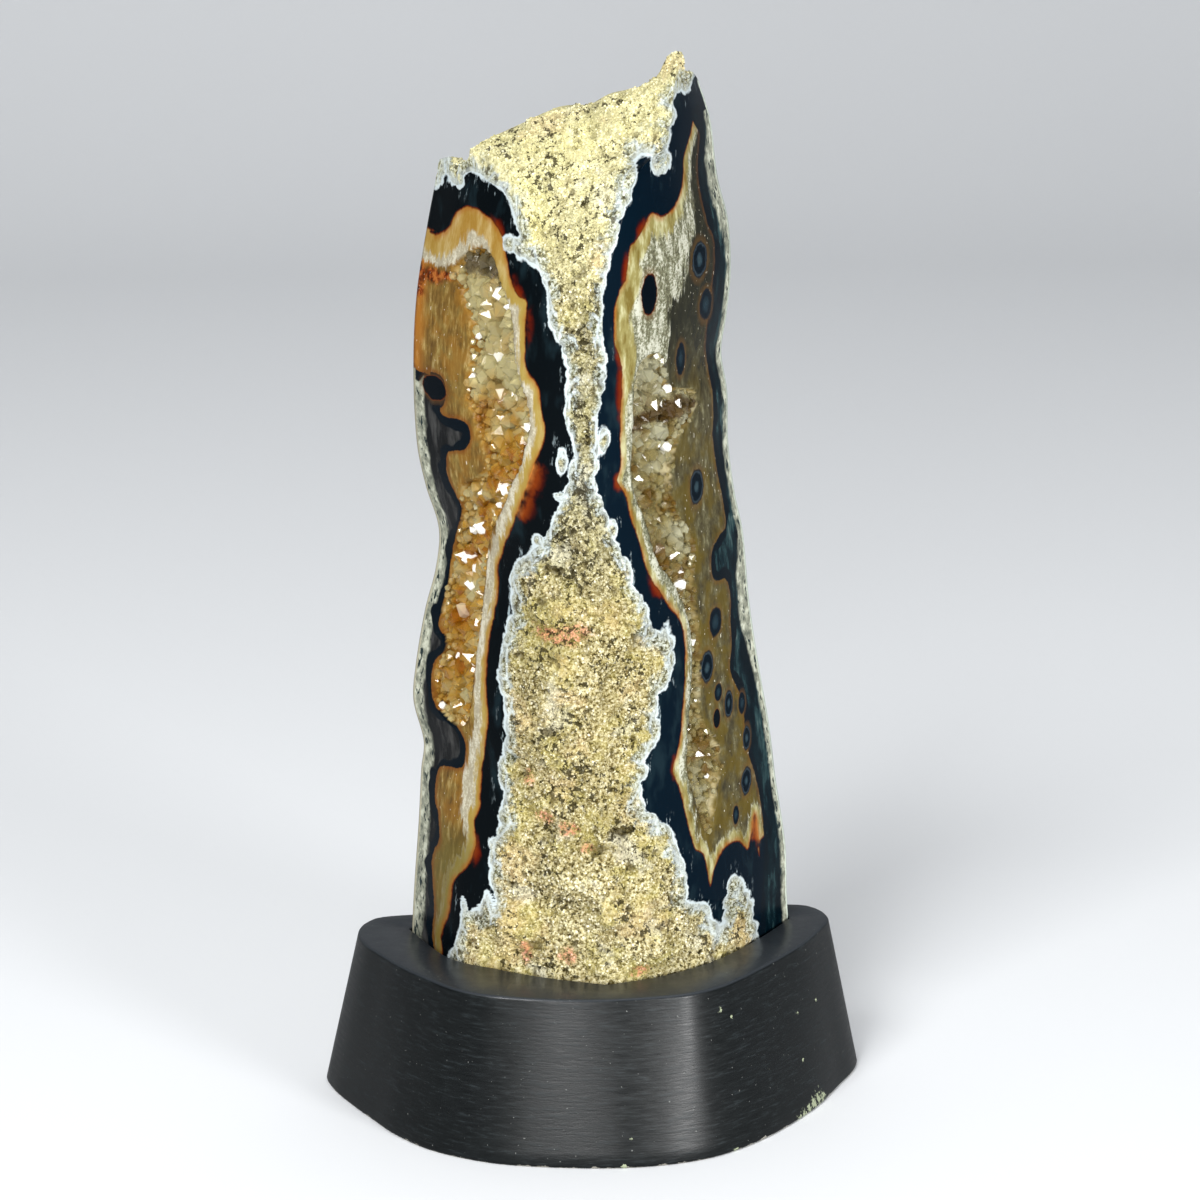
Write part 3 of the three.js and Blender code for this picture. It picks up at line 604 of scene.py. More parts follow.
def pattern_fields(points):
    """All distances and numbers that the agate's material reads, for points on the front."""
    x, z = points[:, 0], points[:, 2]
    on_right = x > curve_through(NOSE_X, z)
    corner = np.where(on_right, curve_through(RIGHT_CORNER, z), curve_through(LEFT_CORNER, z))
    band_left = distance_to(smooth_outline(BAND_LEFT), x, z)
    band_right = distance_to(smooth_outline(BAND_RIGHT), x, z)
    rim_left = -distance_to(smooth_outline(RIM_LEFT), x, z)
    rim_right = -distance_to(smooth_outline(RIM_RIGHT), x, z)
    hollow_left = distance_to(hollow_outline(LEFT_HOLLOW), x, z)
    hollow_right = distance_to(hollow_outline(RIGHT_HOLLOW), x, z)
    eye, which = nearest_spot([spot[:4] for spot in EYES], x, z)
    tones = np.array([spot[4] for spot in EYES])
    glow, lit_by = nearest_spot([spot[:4] for spot in GLOWS], x, z)
    island, _ = nearest_spot(ISLANDS, x, z)
    return {
        "rock": np.maximum(distance_to(rock_line, x, z), ISLAND_RISE * (1 - island)),
        "band": np.where(on_right, band_right, band_left),
        "rim": np.where(on_right, rim_right, rim_left),
        "hollow": np.where(on_right, hollow_right, hollow_left),
        "corner": np.abs(x - corner) * FACE_STRETCH,
        "eye": eye,
        "eye_tone": tones[which],
        "glow": glow,
        "glow_power": np.array([spot[4] for spot in GLOWS])[lit_by],
        "stain": nearest_spot(STAINS, x, z)[0],
        "cream": np.where(on_right, curve_through(CREAM_RIGHT, z), curve_through(CREAM_LEFT, z)),
        "sugar": np.where(on_right, curve_through(SUGAR_RIGHT, z), curve_through(SUGAR_LEFT, z)),
        "right": on_right.astype(float),
    }


fields = pattern_fields(front.reshape(-1, 3))
print("pattern fields:", ", ".join(fields))


# %% [markdown]
# The skin now gets its real relief. The hollows are pushed inwards from their outlines: a short
# steep wall, then a bowl. The rough rock is raised along the surface's own direction with grains
# of two sizes and a few deeper pits. Moving points of one grid keeps the stone in one piece.

# %% Relief on the skin
HOLLOW_DEPTH = 9.0
CRUST_ROOM = 1.2
WALL_DEPTH = 1.6
WALL_WIDTH = 0.5
BOWL_REACH = 4.2
LEFT_INWARD = np.array([0.8, 0.6, 0])
RIGHT_INWARD = np.array([-0.8, 0.6, 0])


def unit(vectors):
    """The same directions, each of length 1."""
    return vectors / np.maximum(np.linalg.norm(vectors, axis=-1, keepdims=True), 1e-9)


def grid_normals(sheet):
    """The direction that a sheet of rows and columns faces at each point."""
    return unit(np.cross(np.gradient(sheet, axis=1), np.gradient(sheet, axis=0)))


def bowl_depth(inside):
    """How deep a hollow is at a distance inside its opening."""
    wall = WALL_DEPTH * ease(0, WALL_WIDTH, inside)
    deepest = HOLLOW_DEPTH - WALL_DEPTH - CRUST_ROOM
    return wall + deepest * (1 - np.exp(-np.maximum(inside, 0) / BOWL_REACH))


def raised_by(spots, x, z):
    """The sum of low domes, or of dishes where the rise is less than 0."""
    rise = np.zeros(x.shape)
    for spot_x, spot_z, half_wide, half_high, height in spots:
        number = np.hypot((x - spot_x) / half_wide, (z - spot_z) / half_high)
        rise += height * ease(1.25, 0.2, number)
    return rise


KNOB_SIZE, COARSE_SIZE, FINE_SIZE, FLOOR_SIZE = 6.0, 3.2, 1.5, 3.0


def rock_relief(points, normals, rock, pits):
    """Grains, pits and small knobs of rough rock, along the surface's own direction."""
    knobs, knob_number = grains(points, KNOB_SIZE, 31)
    coarse, _ = grains(points, COARSE_SIZE, 41)
    fine, number = grains(points, FINE_SIZE, 51)
    small = 1.0 * (coarse - 0.55) + 0.7 * (fine - 0.5) - 1.2 * (number > 0.84) * fine
    inside = ease(0.0, 3.0, rock)
    height = (small + pits) * inside
    broad = (0.7 * (knobs - 0.5) - 1.0 * (knob_number > 0.88) * knobs) * inside
    return points + normals * (height + broad)[:, None], height


# %% Press in the hollows and raise the rock
front_points = front.reshape(-1, 3)
front_normals = grid_normals(front).reshape(-1, 3)
sink = bowl_depth(fields["hollow"]) * (fields["hollow"] > 0)
inward = np.where(fields["right"][:, None] > 0.5, RIGHT_INWARD, LEFT_INWARD)
floor_grain, _ = grains(front_points, FLOOR_SIZE, 61)
sink = np.where(fields["hollow"] > 0.6, sink - floor_grain, sink)
front_points = front_points + inward * sink[:, None]
above_foot = ease(STONE_FOOT + 1, STONE_STRAIGHT + 2, front_points[:, 2])
swell = raised_by(SWELLS, front_points[:, 0], front_points[:, 2]) * ease(0, 6, fields["rock"])
pits = raised_by(PITS, front_points[:, 0], front_points[:, 2])
front_points = front_points + front_normals * swell[:, None]
front_points, front_height = rock_relief(front_points, front_normals,
                                         fields["rock"] * above_foot, pits)
back_points = back.reshape(-1, 3)
back_normals = -grid_normals(back).reshape(-1, 3)
from_edge = np.minimum(np.arange(BACK_COLUMNS + 1), BACK_COLUMNS - np.arange(BACK_COLUMNS + 1))
back_rock = np.broadcast_to(from_edge[None, :] * 1.2, back.shape[:2]).reshape(-1)
below_ridge = (ROWS - np.arange(ROWS + 1))[:, None] * 0.5
back_rock = np.minimum(back_rock, np.broadcast_to(below_ridge, back.shape[:2]).reshape(-1))
above_foot = ease(STONE_FOOT + 1, STONE_STRAIGHT + 2, back_points[:, 2])
back_points, back_height = rock_relief(back_points, back_normals, back_rock * above_foot, 0.0)
print("deepest place of the hollows:", round(float(sink.max()), 1), "mm")


# %% [markdown]
# The two sheets are sewn into one closed skin. They share their corner columns. Over the ridge the
# back has fewer columns than the front, so a strip of triangles joins the two rows like a zip.

# %% Sew the skin
def zip_rows(low, high, low_at, high_at):
    """Triangles between two rows of points, always to the next nearest point."""
    triangles = []
    i = j = 0
    while i < len(low) - 1 or j < len(high) - 1:
        take_low = j == len(high) - 1 or (i < len(low) - 1 and low_at[i + 1] <= high_at[j + 1])
        if take_low:
            triangles.append((low[i + 1], low[i], high[j]))
            i += 1
        else:
            triangles.append((low[i], high[j], high[j + 1]))
            j += 1
    return [t for t in triangles if len(set(t)) == 3]


columns = front.shape[1]
front_index = np.arange((ROWS + 1) * columns).reshape(ROWS + 1, columns)
back_index = front_index.size + np.arange(back.shape[0] * back.shape[1]).reshape(back.shape[:2])
back_index[:, 0], back_index[:, -1] = front_index[:, 0], front_index[:, -1]


def quads(index, outward):
    """The faces of a grid of point numbers, turned outwards or the other way."""
    a, b = index[:-1, :-1], index[:-1, 1:]
    c, d = index[1:, 1:], index[1:, :-1]
    order = (a, b, c, d) if outward else (b, a, d, c)
    return np.stack([corner.ravel() for corner in order], axis=1).tolist()


def share_along(sheet_row):
    """How far across the stone each point of a row is, from 0 to 1."""
    x = sheet_row[:, 0]
    return np.maximum.accumulate((x - x[0]) / (x[-1] - x[0]))


faces = quads(front_index, True) + quads(back_index[:-1], False)
faces += zip_rows(back_index[-2].tolist(), front_index[-1].tolist(),
                  share_along(back[-2]), share_along(front[-1]))
faces.append(back_index[0].tolist() + front_index[0][1:-1][::-1].tolist())
all_points = np.concatenate([front_points, back_points])


# %% Make the stone's mesh and store its pattern on it
BACK_VALUES = {"rock": 20.0, "band": 20.0, "rim": 20.0, "hollow": -20.0, "corner": 20.0,
               "eye": FAR, "glow": FAR, "stain": FAR}


def mesh_object(name, points, faces, values=None):
    """A mesh from millimetre points, without the points that no face uses."""
    used = np.zeros(len(points), bool)
    used[np.concatenate([np.array(face) for face in faces])] = True
    renumber = np.cumsum(used) - 1
    mesh = bpy.data.meshes.new(name)
    mesh.from_pydata((points[used] * MM).tolist(), [],
                     [[int(renumber[i]) for i in face] for face in faces])
    for field, numbers in (values or {}).items():
        store = mesh.attributes.new(field, "FLOAT", "POINT")
        store.data.foreach_set("value", np.asarray(numbers, np.float32)[used])
    obj = bpy.data.objects.new(name, mesh)
    bpy.context.scene.collection.objects.link(obj)
    return obj


stone_values = {}
for field, numbers in fields.items():
    rest = np.full(len(back_points), BACK_VALUES.get(field, 0.0))
    stone_values[field] = np.concatenate([numbers, rest])
stone_values["relief"] = np.concatenate([front_height, back_height])
stone = mesh_object("agate_stone", all_points, faces, stone_values)
face_rock = np.array([stone_values["rock"][face[0]] for face in faces])
face_hollow = np.array([stone_values["hollow"][face[0]] for face in faces])
stone.data.polygons.foreach_set("use_smooth", (face_rock < 0) & (face_hollow < 0))
stone.data.update()
stone_triangles = sum(len(p.vertices) - 2 for p in stone.data.polygons)
print("agate_stone:", len(stone.data.vertices), "points,", stone_triangles, "triangles")


# %% [markdown]
# Materials here are node trees, and a small helper keeps them readable: each method adds one node
# and gives its output. Sizes are given in millimetres, because that is how a finish is measured,
# and colours as the 0 to 255 values that an eye or a colour card gives.

# %% A helper for materials
STONE_MIDDLE = 0.165


def paint(red, green, blue):
    """A colour of 0 to 255 values as the linear values that a shader needs."""
    parts = []
    for part in (red, green, blue):
        c = part / 255
        parts.append(c / 12.92 if c <= 0.04045 else ((c + 0.055) / 1.055) ** 2.4)
    return (*parts, 1.0)


class Finish:
    """A material whose nodes are added one by one."""

    def __init__(self, name):
        self.material = bpy.data.materials.new(name)
        self.material.use_nodes = True
        self.tree = self.material.node_tree
        self.tree.nodes.clear()
        self.out = self.tree.nodes.new("ShaderNodeOutputMaterial")
        self.shader = self.tree.nodes.new("ShaderNodeBsdfPrincipled")
        self.tree.links.new(self.shader.outputs[0], self.out.inputs["Surface"])
        self.place = self.tree.nodes.new("ShaderNodeTexCoord").outputs["Object"]

    def put(self, value, socket):
        """Links a socket, or sets a value. Three numbers in brackets are a 0 to 255 colour."""
        if isinstance(value, bpy.types.NodeSocket):
            self.tree.links.new(value, socket)
        else:
            socket.default_value = paint(*value) if isinstance(value, tuple) else value

    def field(self, name):
        """A number that is stored on the mesh."""
        node = self.tree.nodes.new("ShaderNodeAttribute")
        node.attribute_name = name
        return node.outputs["Fac"]

    def above_floor(self):
        """The height over the floor, in metres."""
        split = self.tree.nodes.new("ShaderNodeSeparateXYZ")
        self.put(self.place, split.inputs[0])
        return split.outputs["Z"]

    def height(self):
        """The height over the middle of the stone, in metres."""
        return self.math("SUBTRACT", self.above_floor(), STONE_MIDDLE)

    def math(self, operation, a, b=0.0, c=0.0):
        node = self.tree.nodes.new("ShaderNodeMath")
        node.operation = operation
        for n, value in enumerate((a, b, c)):
            self.put(value, node.inputs[n])
        return node.outputs[0]

    def mask(self, value, start, end):
        """0 before start and 1 after end, smooth between them."""
        node = self.tree.nodes.new("ShaderNodeMapRange")
        node.interpolation_type = "SMOOTHSTEP"
        for n, part in enumerate((value, start, end, 0.0, 1.0)):
            self.put(part, node.inputs[n])
        return node.outputs[0]

    def fade(self, value, start, end):
        """1 before start and 0 after end, smooth between them."""
        return self.mask(value, end, start)

    def step(self, value, at, before, after):
        """0 until a little before a place and 1 from a little after it."""
        return self.mask(value, self.math("SUBTRACT", at, before), self.math("ADD", at, after))

    def window(self, value, start, full, falling, end):
        """1 between two places and 0 outside them, with soft sides."""
        return self.math("MULTIPLY", self.mask(value, start, full),
                         self.fade(value, falling, end))

    def mix(self, share, a, b):
        """All a where the share is 0, and all b where it is 1."""
        node = self.tree.nodes.new("ShaderNodeMix")
        node.data_type = "RGBA"
        self.put(share, node.inputs["Factor"])
        self.put(a, node.inputs[6])
        self.put(b, node.inputs[7])
        return node.outputs[2]

    def wash(self, base, share, strength, color):
        """The base with a thin coat of another colour, where the share says."""
        return self.mix(self.math("MULTIPLY", share, strength), base, color)

    def ramp(self, value, *stops):
        """Colours along a value. Each stop is a place and the colour's 0 to 255 values."""
        node = self.tree.nodes.new("ShaderNodeValToRGB")
        band = node.color_ramp
        while len(band.elements) < len(stops):
            band.elements.new(0.5)
        for element, (at, *color) in zip(band.elements, stops):
            element.position = at
            element.color = paint(*color)
        self.put(value, node.inputs[0])
        return node.outputs[0]

    def stretch(self, x, y, z):
        """Coordinates that draw a pattern out along each axis whose number is under 1."""
        node = self.tree.nodes.new("ShaderNodeMapping")
        self.put(self.place, node.inputs["Vector"])
        node.inputs["Scale"].default_value = (x, y, z)
        return node.outputs[0]

    def noise(self, size, detail=2.0, roughness=0.5, vector=None):
        """Soft random shade with features of about this size in millimetres."""
        node = self.tree.nodes.new("ShaderNodeTexNoise")
        self.put(vector or self.place, node.inputs["Vector"])
        node.inputs["Scale"].default_value = 1000 / size
        node.inputs["Detail"].default_value = detail
        node.inputs["Roughness"].default_value = roughness
        return node.outputs[0]

    def cell_edges(self, size, vector):
        """How far a place is from the edge of its cell, for cells of about this size."""
        node = self.tree.nodes.new("ShaderNodeTexVoronoi")
        node.feature = "DISTANCE_TO_EDGE"
        self.put(vector, node.inputs["Vector"])
        node.inputs["Scale"].default_value = 1000 / size
        return node.outputs["Distance"]

    def bump(self, height, depth, strength=1.0):
        """Bump of a depth in millimetres."""
        node = self.tree.nodes.new("ShaderNodeBump")
        self.put(strength, node.inputs["Strength"])
        node.inputs["Distance"].default_value = depth * MM
        self.put(height, node.inputs["Height"])
        return node.outputs[0]

    def away_from(self, x, y, z):
        """How far it is from a place, in millimetres."""
        node = self.tree.nodes.new("ShaderNodeVectorMath")
        node.operation = "DISTANCE"
        self.put(self.place, node.inputs[0])
        node.inputs[1].default_value = (x * MM, y * MM, z * MM)
        return self.math("MULTIPLY", node.outputs["Value"], 1000)

    def set(self, **sockets):
        """Sets or links the shader's own sockets, and gives the finished material."""
        for name, value in sockets.items():
            self.put(value, self.shader.inputs[name.replace("_", " ")])
        return self.material


# %% [markdown]
# Rough rock: it is a crust of small yellow-cream grains with dark olive pits between them, with a
# few reddish stains. Its tone comes from noise at the size of the grains, and wide soft noise makes
# the patches. The stored relief darkens what lies low, which is painted shade in the grooves and
# pits over their own dark olive, and the upper rock is painted paler, as painted light from above.
# Beside the cut it is greyer, and made of rounded lobes with white skins, which a cell pattern
# draws by its distance to a cell's edge. At its neck, where it is narrowest, the rock is greyer
# still and has more pits.

# %% The colour of the rough rock
NECK_HEIGHT = 0.03


def near_neck(finish):
    """How near a place is to the narrow neck of the rock, from 0 to 1."""
    away = finish.math("ABSOLUTE", finish.math("SUBTRACT", finish.height(), NECK_HEIGHT))
    return finish.fade(away, 0.015, 0.05)


def rock_color(finish):
    """The colour of the rock away from the cut, with painted light and shade, and the fine noise it
    is made from.
    """
    fine = finish.noise(0.95, 4.0, 0.7)
    middle = finish.math("SUBTRACT", fine, 0.05)
    tone = finish.math("MULTIPLY_ADD", finish.field("tone"), 0.14, middle)
    base = finish.ramp(tone, (0.31, 72, 60, 30), (0.39, 142, 130, 84), (0.47, 188, 178, 136),
                       (0.55, 208, 200, 162), (0.64, 236, 232, 212))
    olive = finish.mask(finish.noise(15.0, 3.0, 0.6), 0.48, 0.62)
    base = finish.wash(base, olive, 0.4, (176, 166, 88))
    dull = finish.mask(finish.noise(7.0, 3.0, 0.6), 0.52, 0.64)
    base = finish.wash(base, dull, 0.45, (120, 108, 68))
    # Painted light: the upper rock is washed paler, as light from above falls on it.
    upper = finish.mask(finish.height(), 0.055, 0.095)
    base = finish.wash(base, upper, 0.4, (240, 236, 184))
    lower = finish.window(finish.height(), -0.095, -0.078, -0.02, 0.0)
    base = finish.wash(base, lower, 0.16, (132, 114, 56))
    neck = near_neck(finish)
    base = finish.wash(base, neck, 0.4, (114, 114, 88))
    blush = finish.mask(finish.noise(19.0, 3.0, 0.6), 0.52, 0.66)
    blush = finish.math("MULTIPLY", blush, finish.math("SUBTRACT", 1.0, neck))
    base = finish.wash(base, blush, 0.32, (204, 176, 130))
    chalk = finish.mask(finish.noise(12.0, 4.0, 0.65), 0.56, 0.66)
    base = finish.wash(base, chalk, 0.3, (218, 218, 204))
    blot = finish.math("MULTIPLY_ADD", finish.noise(2.6, 3.0, 0.7), 1.6, finish.field("stain"))
    stained = finish.fade(blot, 1.3, 1.9)
    speckled = finish.math("MULTIPLY", stained, finish.mask(tone, 0.40, 0.50))
    base = finish.wash(base, speckled, 0.6, (198, 106, 74))
    # Painted shade: what lies low in the relief, grooves and pits, is washed dark over its own dark
    # olive.
    low = finish.fade(finish.field("relief"), -1.3, -0.1)
    base = finish.wash(base, low, 0.7, (74, 62, 28))
    crowd = finish.math("MULTIPLY_ADD", finish.noise(9.0, 2.0), -0.5, 0.25)
    holes = finish.math("ADD", finish.noise(1.7, 3.0, 0.62), crowd)
    holes = finish.math("MULTIPLY_ADD", neck, -0.055, holes)
    pit = finish.fade(holes, 0.36, 0.41)
    base = finish.wash(base, pit, 0.88, (42, 36, 16))
    specks = finish.math("MULTIPLY_ADD", crowd, 0.4, finish.noise(0.6, 2.0, 0.6))
    speck = finish.fade(specks, 0.34, 0.38)
    return finish.wash(base, speck, 0.7, (44, 38, 18)), fine


def lobed_crust(finish, rock, fine, soft):
    """The greyer crust of rounded lobes beside the cut."""
    neck = near_neck(finish)
    inside = finish.math("MULTIPLY_ADD", soft, 16.0, finish.field("rock"))
    inside = finish.math("MULTIPLY_ADD", neck, 1.5, inside)
    crust = finish.fade(inside, 2.4, 5.6)
    lobes = finish.cell_edges(6.4, finish.stretch(1, 1, 0.62))
    skins = finish.fade(lobes, 0.02, 0.08)
    grey = finish.ramp(fine, (0.38, 46, 48, 34), (0.46, 118, 122, 102), (0.58, 188, 196, 192))
    body = finish.mix(0.72, rock, grey)
    holes = finish.math("MULTIPLY_ADD", neck, -0.05, finish.noise(2.6, 3.0, 0.6))
    pocket = finish.fade(holes, 0.38, 0.42)
    body = finish.wash(body, pocket, 0.8, (64, 58, 36))
    skin_share = finish.math("MULTIPLY", skins, finish.math("MULTIPLY_ADD", neck, 0.3, 0.6))
    body = finish.mix(skin_share, body, (190, 199, 200))
    border = finish.fade(finish.field("rock"), 0.4, 1.5)
    body = finish.wash(body, border, 0.5, (172, 180, 178))
    return finish.mix(crust, rock, body)


# %% [markdown]
# The cut agate, from the rock's edge inwards: a thin blue-white skin, the dark band with faint
# paler lines in it, a fine line of red and orange, cream chalcedony, white sugary quartz, and then
# amber or tan quartz with eyes. Each layer is a mask on one of the stored distances, with a little
# noise added to it, so that no line is ruler-straight.

# %% The colour of the polished agate
def agate_color(finish):
    """The layers of the cut, and the distances and noises that the next layers also need."""
    rock, band = finish.field("rock"), finish.field("band")
    rim, glow = finish.field("rim"), finish.field("glow")
    right = finish.field("right")
    soft = finish.math("SUBTRACT", finish.noise(5.0, 3.0, 0.6), 0.5)
    sharp = finish.math("SUBTRACT", finish.noise(1.3, 2.0, 0.6), 0.5)
    icicles = finish.math("SUBTRACT", finish.noise(1.6, 3.0, 0.65, finish.stretch(1, 1, 0.2)), 0.5)
    from_band = finish.math("MULTIPLY_ADD", soft, 1.6, band)
    from_band = finish.math("MULTIPLY_ADD", sharp, 0.5, from_band)
    from_rim = finish.math("MULTIPLY_ADD", sharp, 0.6, finish.math("MULTIPLY_ADD", soft, 1.0, rim))
    into_cut = finish.math("MULTIPLY_ADD", sharp, 0.7, finish.math("MULTIPLY", rock, -1.0))

    quartz = quartz_color(finish, from_rim)
    shards = finish.math("MULTIPLY", finish.noise(2.4, 3.0, 0.6, finish.stretch(1, 1, 0.3)), 0.5)
    sparkle = finish.math("MULTIPLY_ADD", finish.noise(0.8, 3.0, 0.7), 0.5, shards)
    left_share = finish.math("SUBTRACT", 1.0, right)
    sugar = finish.ramp(sparkle, (0.39, 74, 72, 56), (0.48, 108, 108, 86), (0.57, 176, 176, 160))
    sugar = finish.wash(sugar, left_share, 0.45, (192, 180, 156))
    cream_tone = finish.noise(3.4, 4.0, 0.62, finish.stretch(1, 1, 0.35))
    cream = finish.ramp(cream_tone, (0.36, 98, 84, 38), (0.5, 128, 120, 74), (0.64, 168, 166, 128))
    cream = finish.wash(cream, left_share, 0.5, (168, 122, 48))
    lower_left = finish.math("MULTIPLY", left_share, finish.fade(finish.height(), 0.064, 0.082))
    cream = finish.wash(cream, lower_left, 0.55, (142, 128, 64))
    ragged = finish.math("MULTIPLY_ADD", icicles, 7.0, from_band)
    cream_end = finish.field("cream")
    sugar_end = finish.math("ADD", cream_end, finish.field("sugar"))
    layers = finish.mix(finish.step(ragged, sugar_end, 0.7, 0.7), sugar, quartz)
    layers = finish.mix(finish.step(ragged, cream_end, 1.0, 0.8), cream, layers)
    foot = finish.math("MULTIPLY", left_share, finish.fade(finish.height(), -0.092, -0.078))
    layers = finish.wash(layers, foot, 0.65, (84, 78, 38))
    amber_share = finish.fade(from_band, 0.3, 2.2)
    here = finish.math("MULTIPLY_ADD", finish.mask(finish.noise(9.0, 2.0), 0.40, 0.58), 0.5, 0.2)
    layers = finish.wash(layers, amber_share, here, (136, 76, 24))
    dark, shine = dark_band_color(finish, into_cut, from_band, glow, right)
    line = finish.mix(shine, (76, 26, 8), (170, 106, 46))
    layers = finish.mix(finish.mask(from_band, 0.1, 0.7), line, layers)
    layers = finish.mix(finish.mask(from_band, -0.15, 0.15), dark, layers)
    return layers, into_cut, from_rim, sharp, soft


def quartz_color(finish, from_rim):
    """Translucent quartz: streaked olive-gold on the left, mottled brown-grey on the right."""
    streaks = finish.noise(1.7, 5.0, 0.66, finish.stretch(1, 1, 0.3))
    clouds = finish.noise(8.0, 4.0, 0.6)
    mottle = finish.noise(3.0, 5.0, 0.68, finish.stretch(1, 1, 0.6))
    left = finish.ramp(streaks, (0.34, 74, 56, 28), (0.48, 102, 78, 36), (0.57, 130, 106, 54),
                       (0.68, 178, 160, 108))
    haze = finish.ramp(finish.noise(6.0, 3.0, 0.55), (0.36, 80, 58, 30), (0.5, 112, 84, 38),
                       (0.66, 132, 116, 64))
    left = finish.mix(0.4, left, haze)
    left = finish.wash(left, finish.mask(clouds, 0.46, 0.6), 0.5, (128, 88, 30))
    edge = finish.fade(finish.field("corner"), 0.5, 6.0)
    left = finish.wash(left, edge, 0.7, (160, 100, 34))
    rust = finish.fade(finish.field("stain"), 0.5, 1.2)
    rust_tone = finish.ramp(finish.noise(2.0, 3.0, 0.6), (0.40, 52, 16, 5), (0.5, 104, 36, 10),
                            (0.6, 158, 92, 40))
    left = finish.wash(left, rust, 0.9, rust_tone)
    brown = finish.ramp(mottle, (0.34, 44, 41, 31), (0.46, 64, 59, 41), (0.57, 80, 75, 52),
                        (0.70, 118, 115, 90))
    shade = finish.mask(finish.height(), 0.03, 0.06)
    brown = finish.wash(brown, shade, 0.85, (28, 30, 25))
    cloudy_height = finish.math("MULTIPLY_ADD", clouds, -0.12, finish.height())
    amber = finish.fade(cloudy_height, -0.075, -0.005)
    amber = finish.math("MULTIPLY", amber, finish.mask(clouds, 0.38, 0.6))
    brown = finish.wash(brown, amber, 0.75, (84, 70, 22))
    quartz = finish.mix(finish.field("right"), left, brown)
    glints = finish.mask(finish.noise(0.7, 1.0, 0.5, finish.stretch(1, 1, 0.5)), 0.73, 0.77)
    return finish.wash(quartz, glints, 0.8, (210, 206, 186))


def dark_band_color(finish, into_cut, from_band, glow, right):
    """Nearly black chalcedony, bluer on the right, with red light in it in a few places."""
    base = finish.mix(right, (5, 9, 12), (3, 15, 25))
    haze = finish.mask(finish.noise(7.0, 3.0, 0.55, finish.stretch(1, 1, 0.45)), 0.52, 0.7)
    dark = finish.wash(base, haze, 0.5, (26, 42, 48))
    wisp = finish.mask(finish.noise(2.2, 4.0, 0.7, finish.stretch(1, 1, 0.3)), 0.60, 0.70)
    close = finish.fade(into_cut, 0.6, 5.0)
    dark = finish.wash(dark, wisp, close, (140, 154, 158))
    from_glow = finish.math("SUBTRACT", glow, 0.8)
    near_glow = finish.math("MULTIPLY_ADD", finish.noise(3.0, 2.0), 1.6, from_glow)
    strength = finish.fade(near_glow, 0.0, 1.5)
    power = finish.field("glow_power")
    reach = finish.math("MULTIPLY_ADD", finish.math("MULTIPLY", strength, power), 8.0, 1.5)
    depth = finish.math("DIVIDE", finish.math("MULTIPLY", from_band, -1.0), reach)
    dim = finish.ramp(depth, (0.0, 98, 36, 10), (0.35, 76, 16, 5), (0.65, 38, 8, 5),
                      (0.95, 8, 6, 8))
    strong = finish.ramp(depth, (0.0, 148, 90, 40), (0.24, 108, 44, 11), (0.55, 64, 14, 4),
                         (0.95, 10, 6, 8))
    bright = finish.mask(power, 0.4, 1.0)
    light = finish.mix(bright, dim, strong)
    lit = finish.fade(depth, 0.2, 1.0)
    shown = finish.mask(strength, 0.0, 0.95)
    dark = finish.wash(dark, lit, shown, light)
    return dark, finish.math("MULTIPLY", shown, bright)


# %% [markdown]
# Beyond the quartz, toward the back corner, comes the outer rim: a dark line, grey chalcedony, a
# pale grey-green rind with dark specks, and a bright line at the very edge. The rind is wider at
# the right cut's shoulder and knee. The eyes are drawn last, over everything that was cut through.

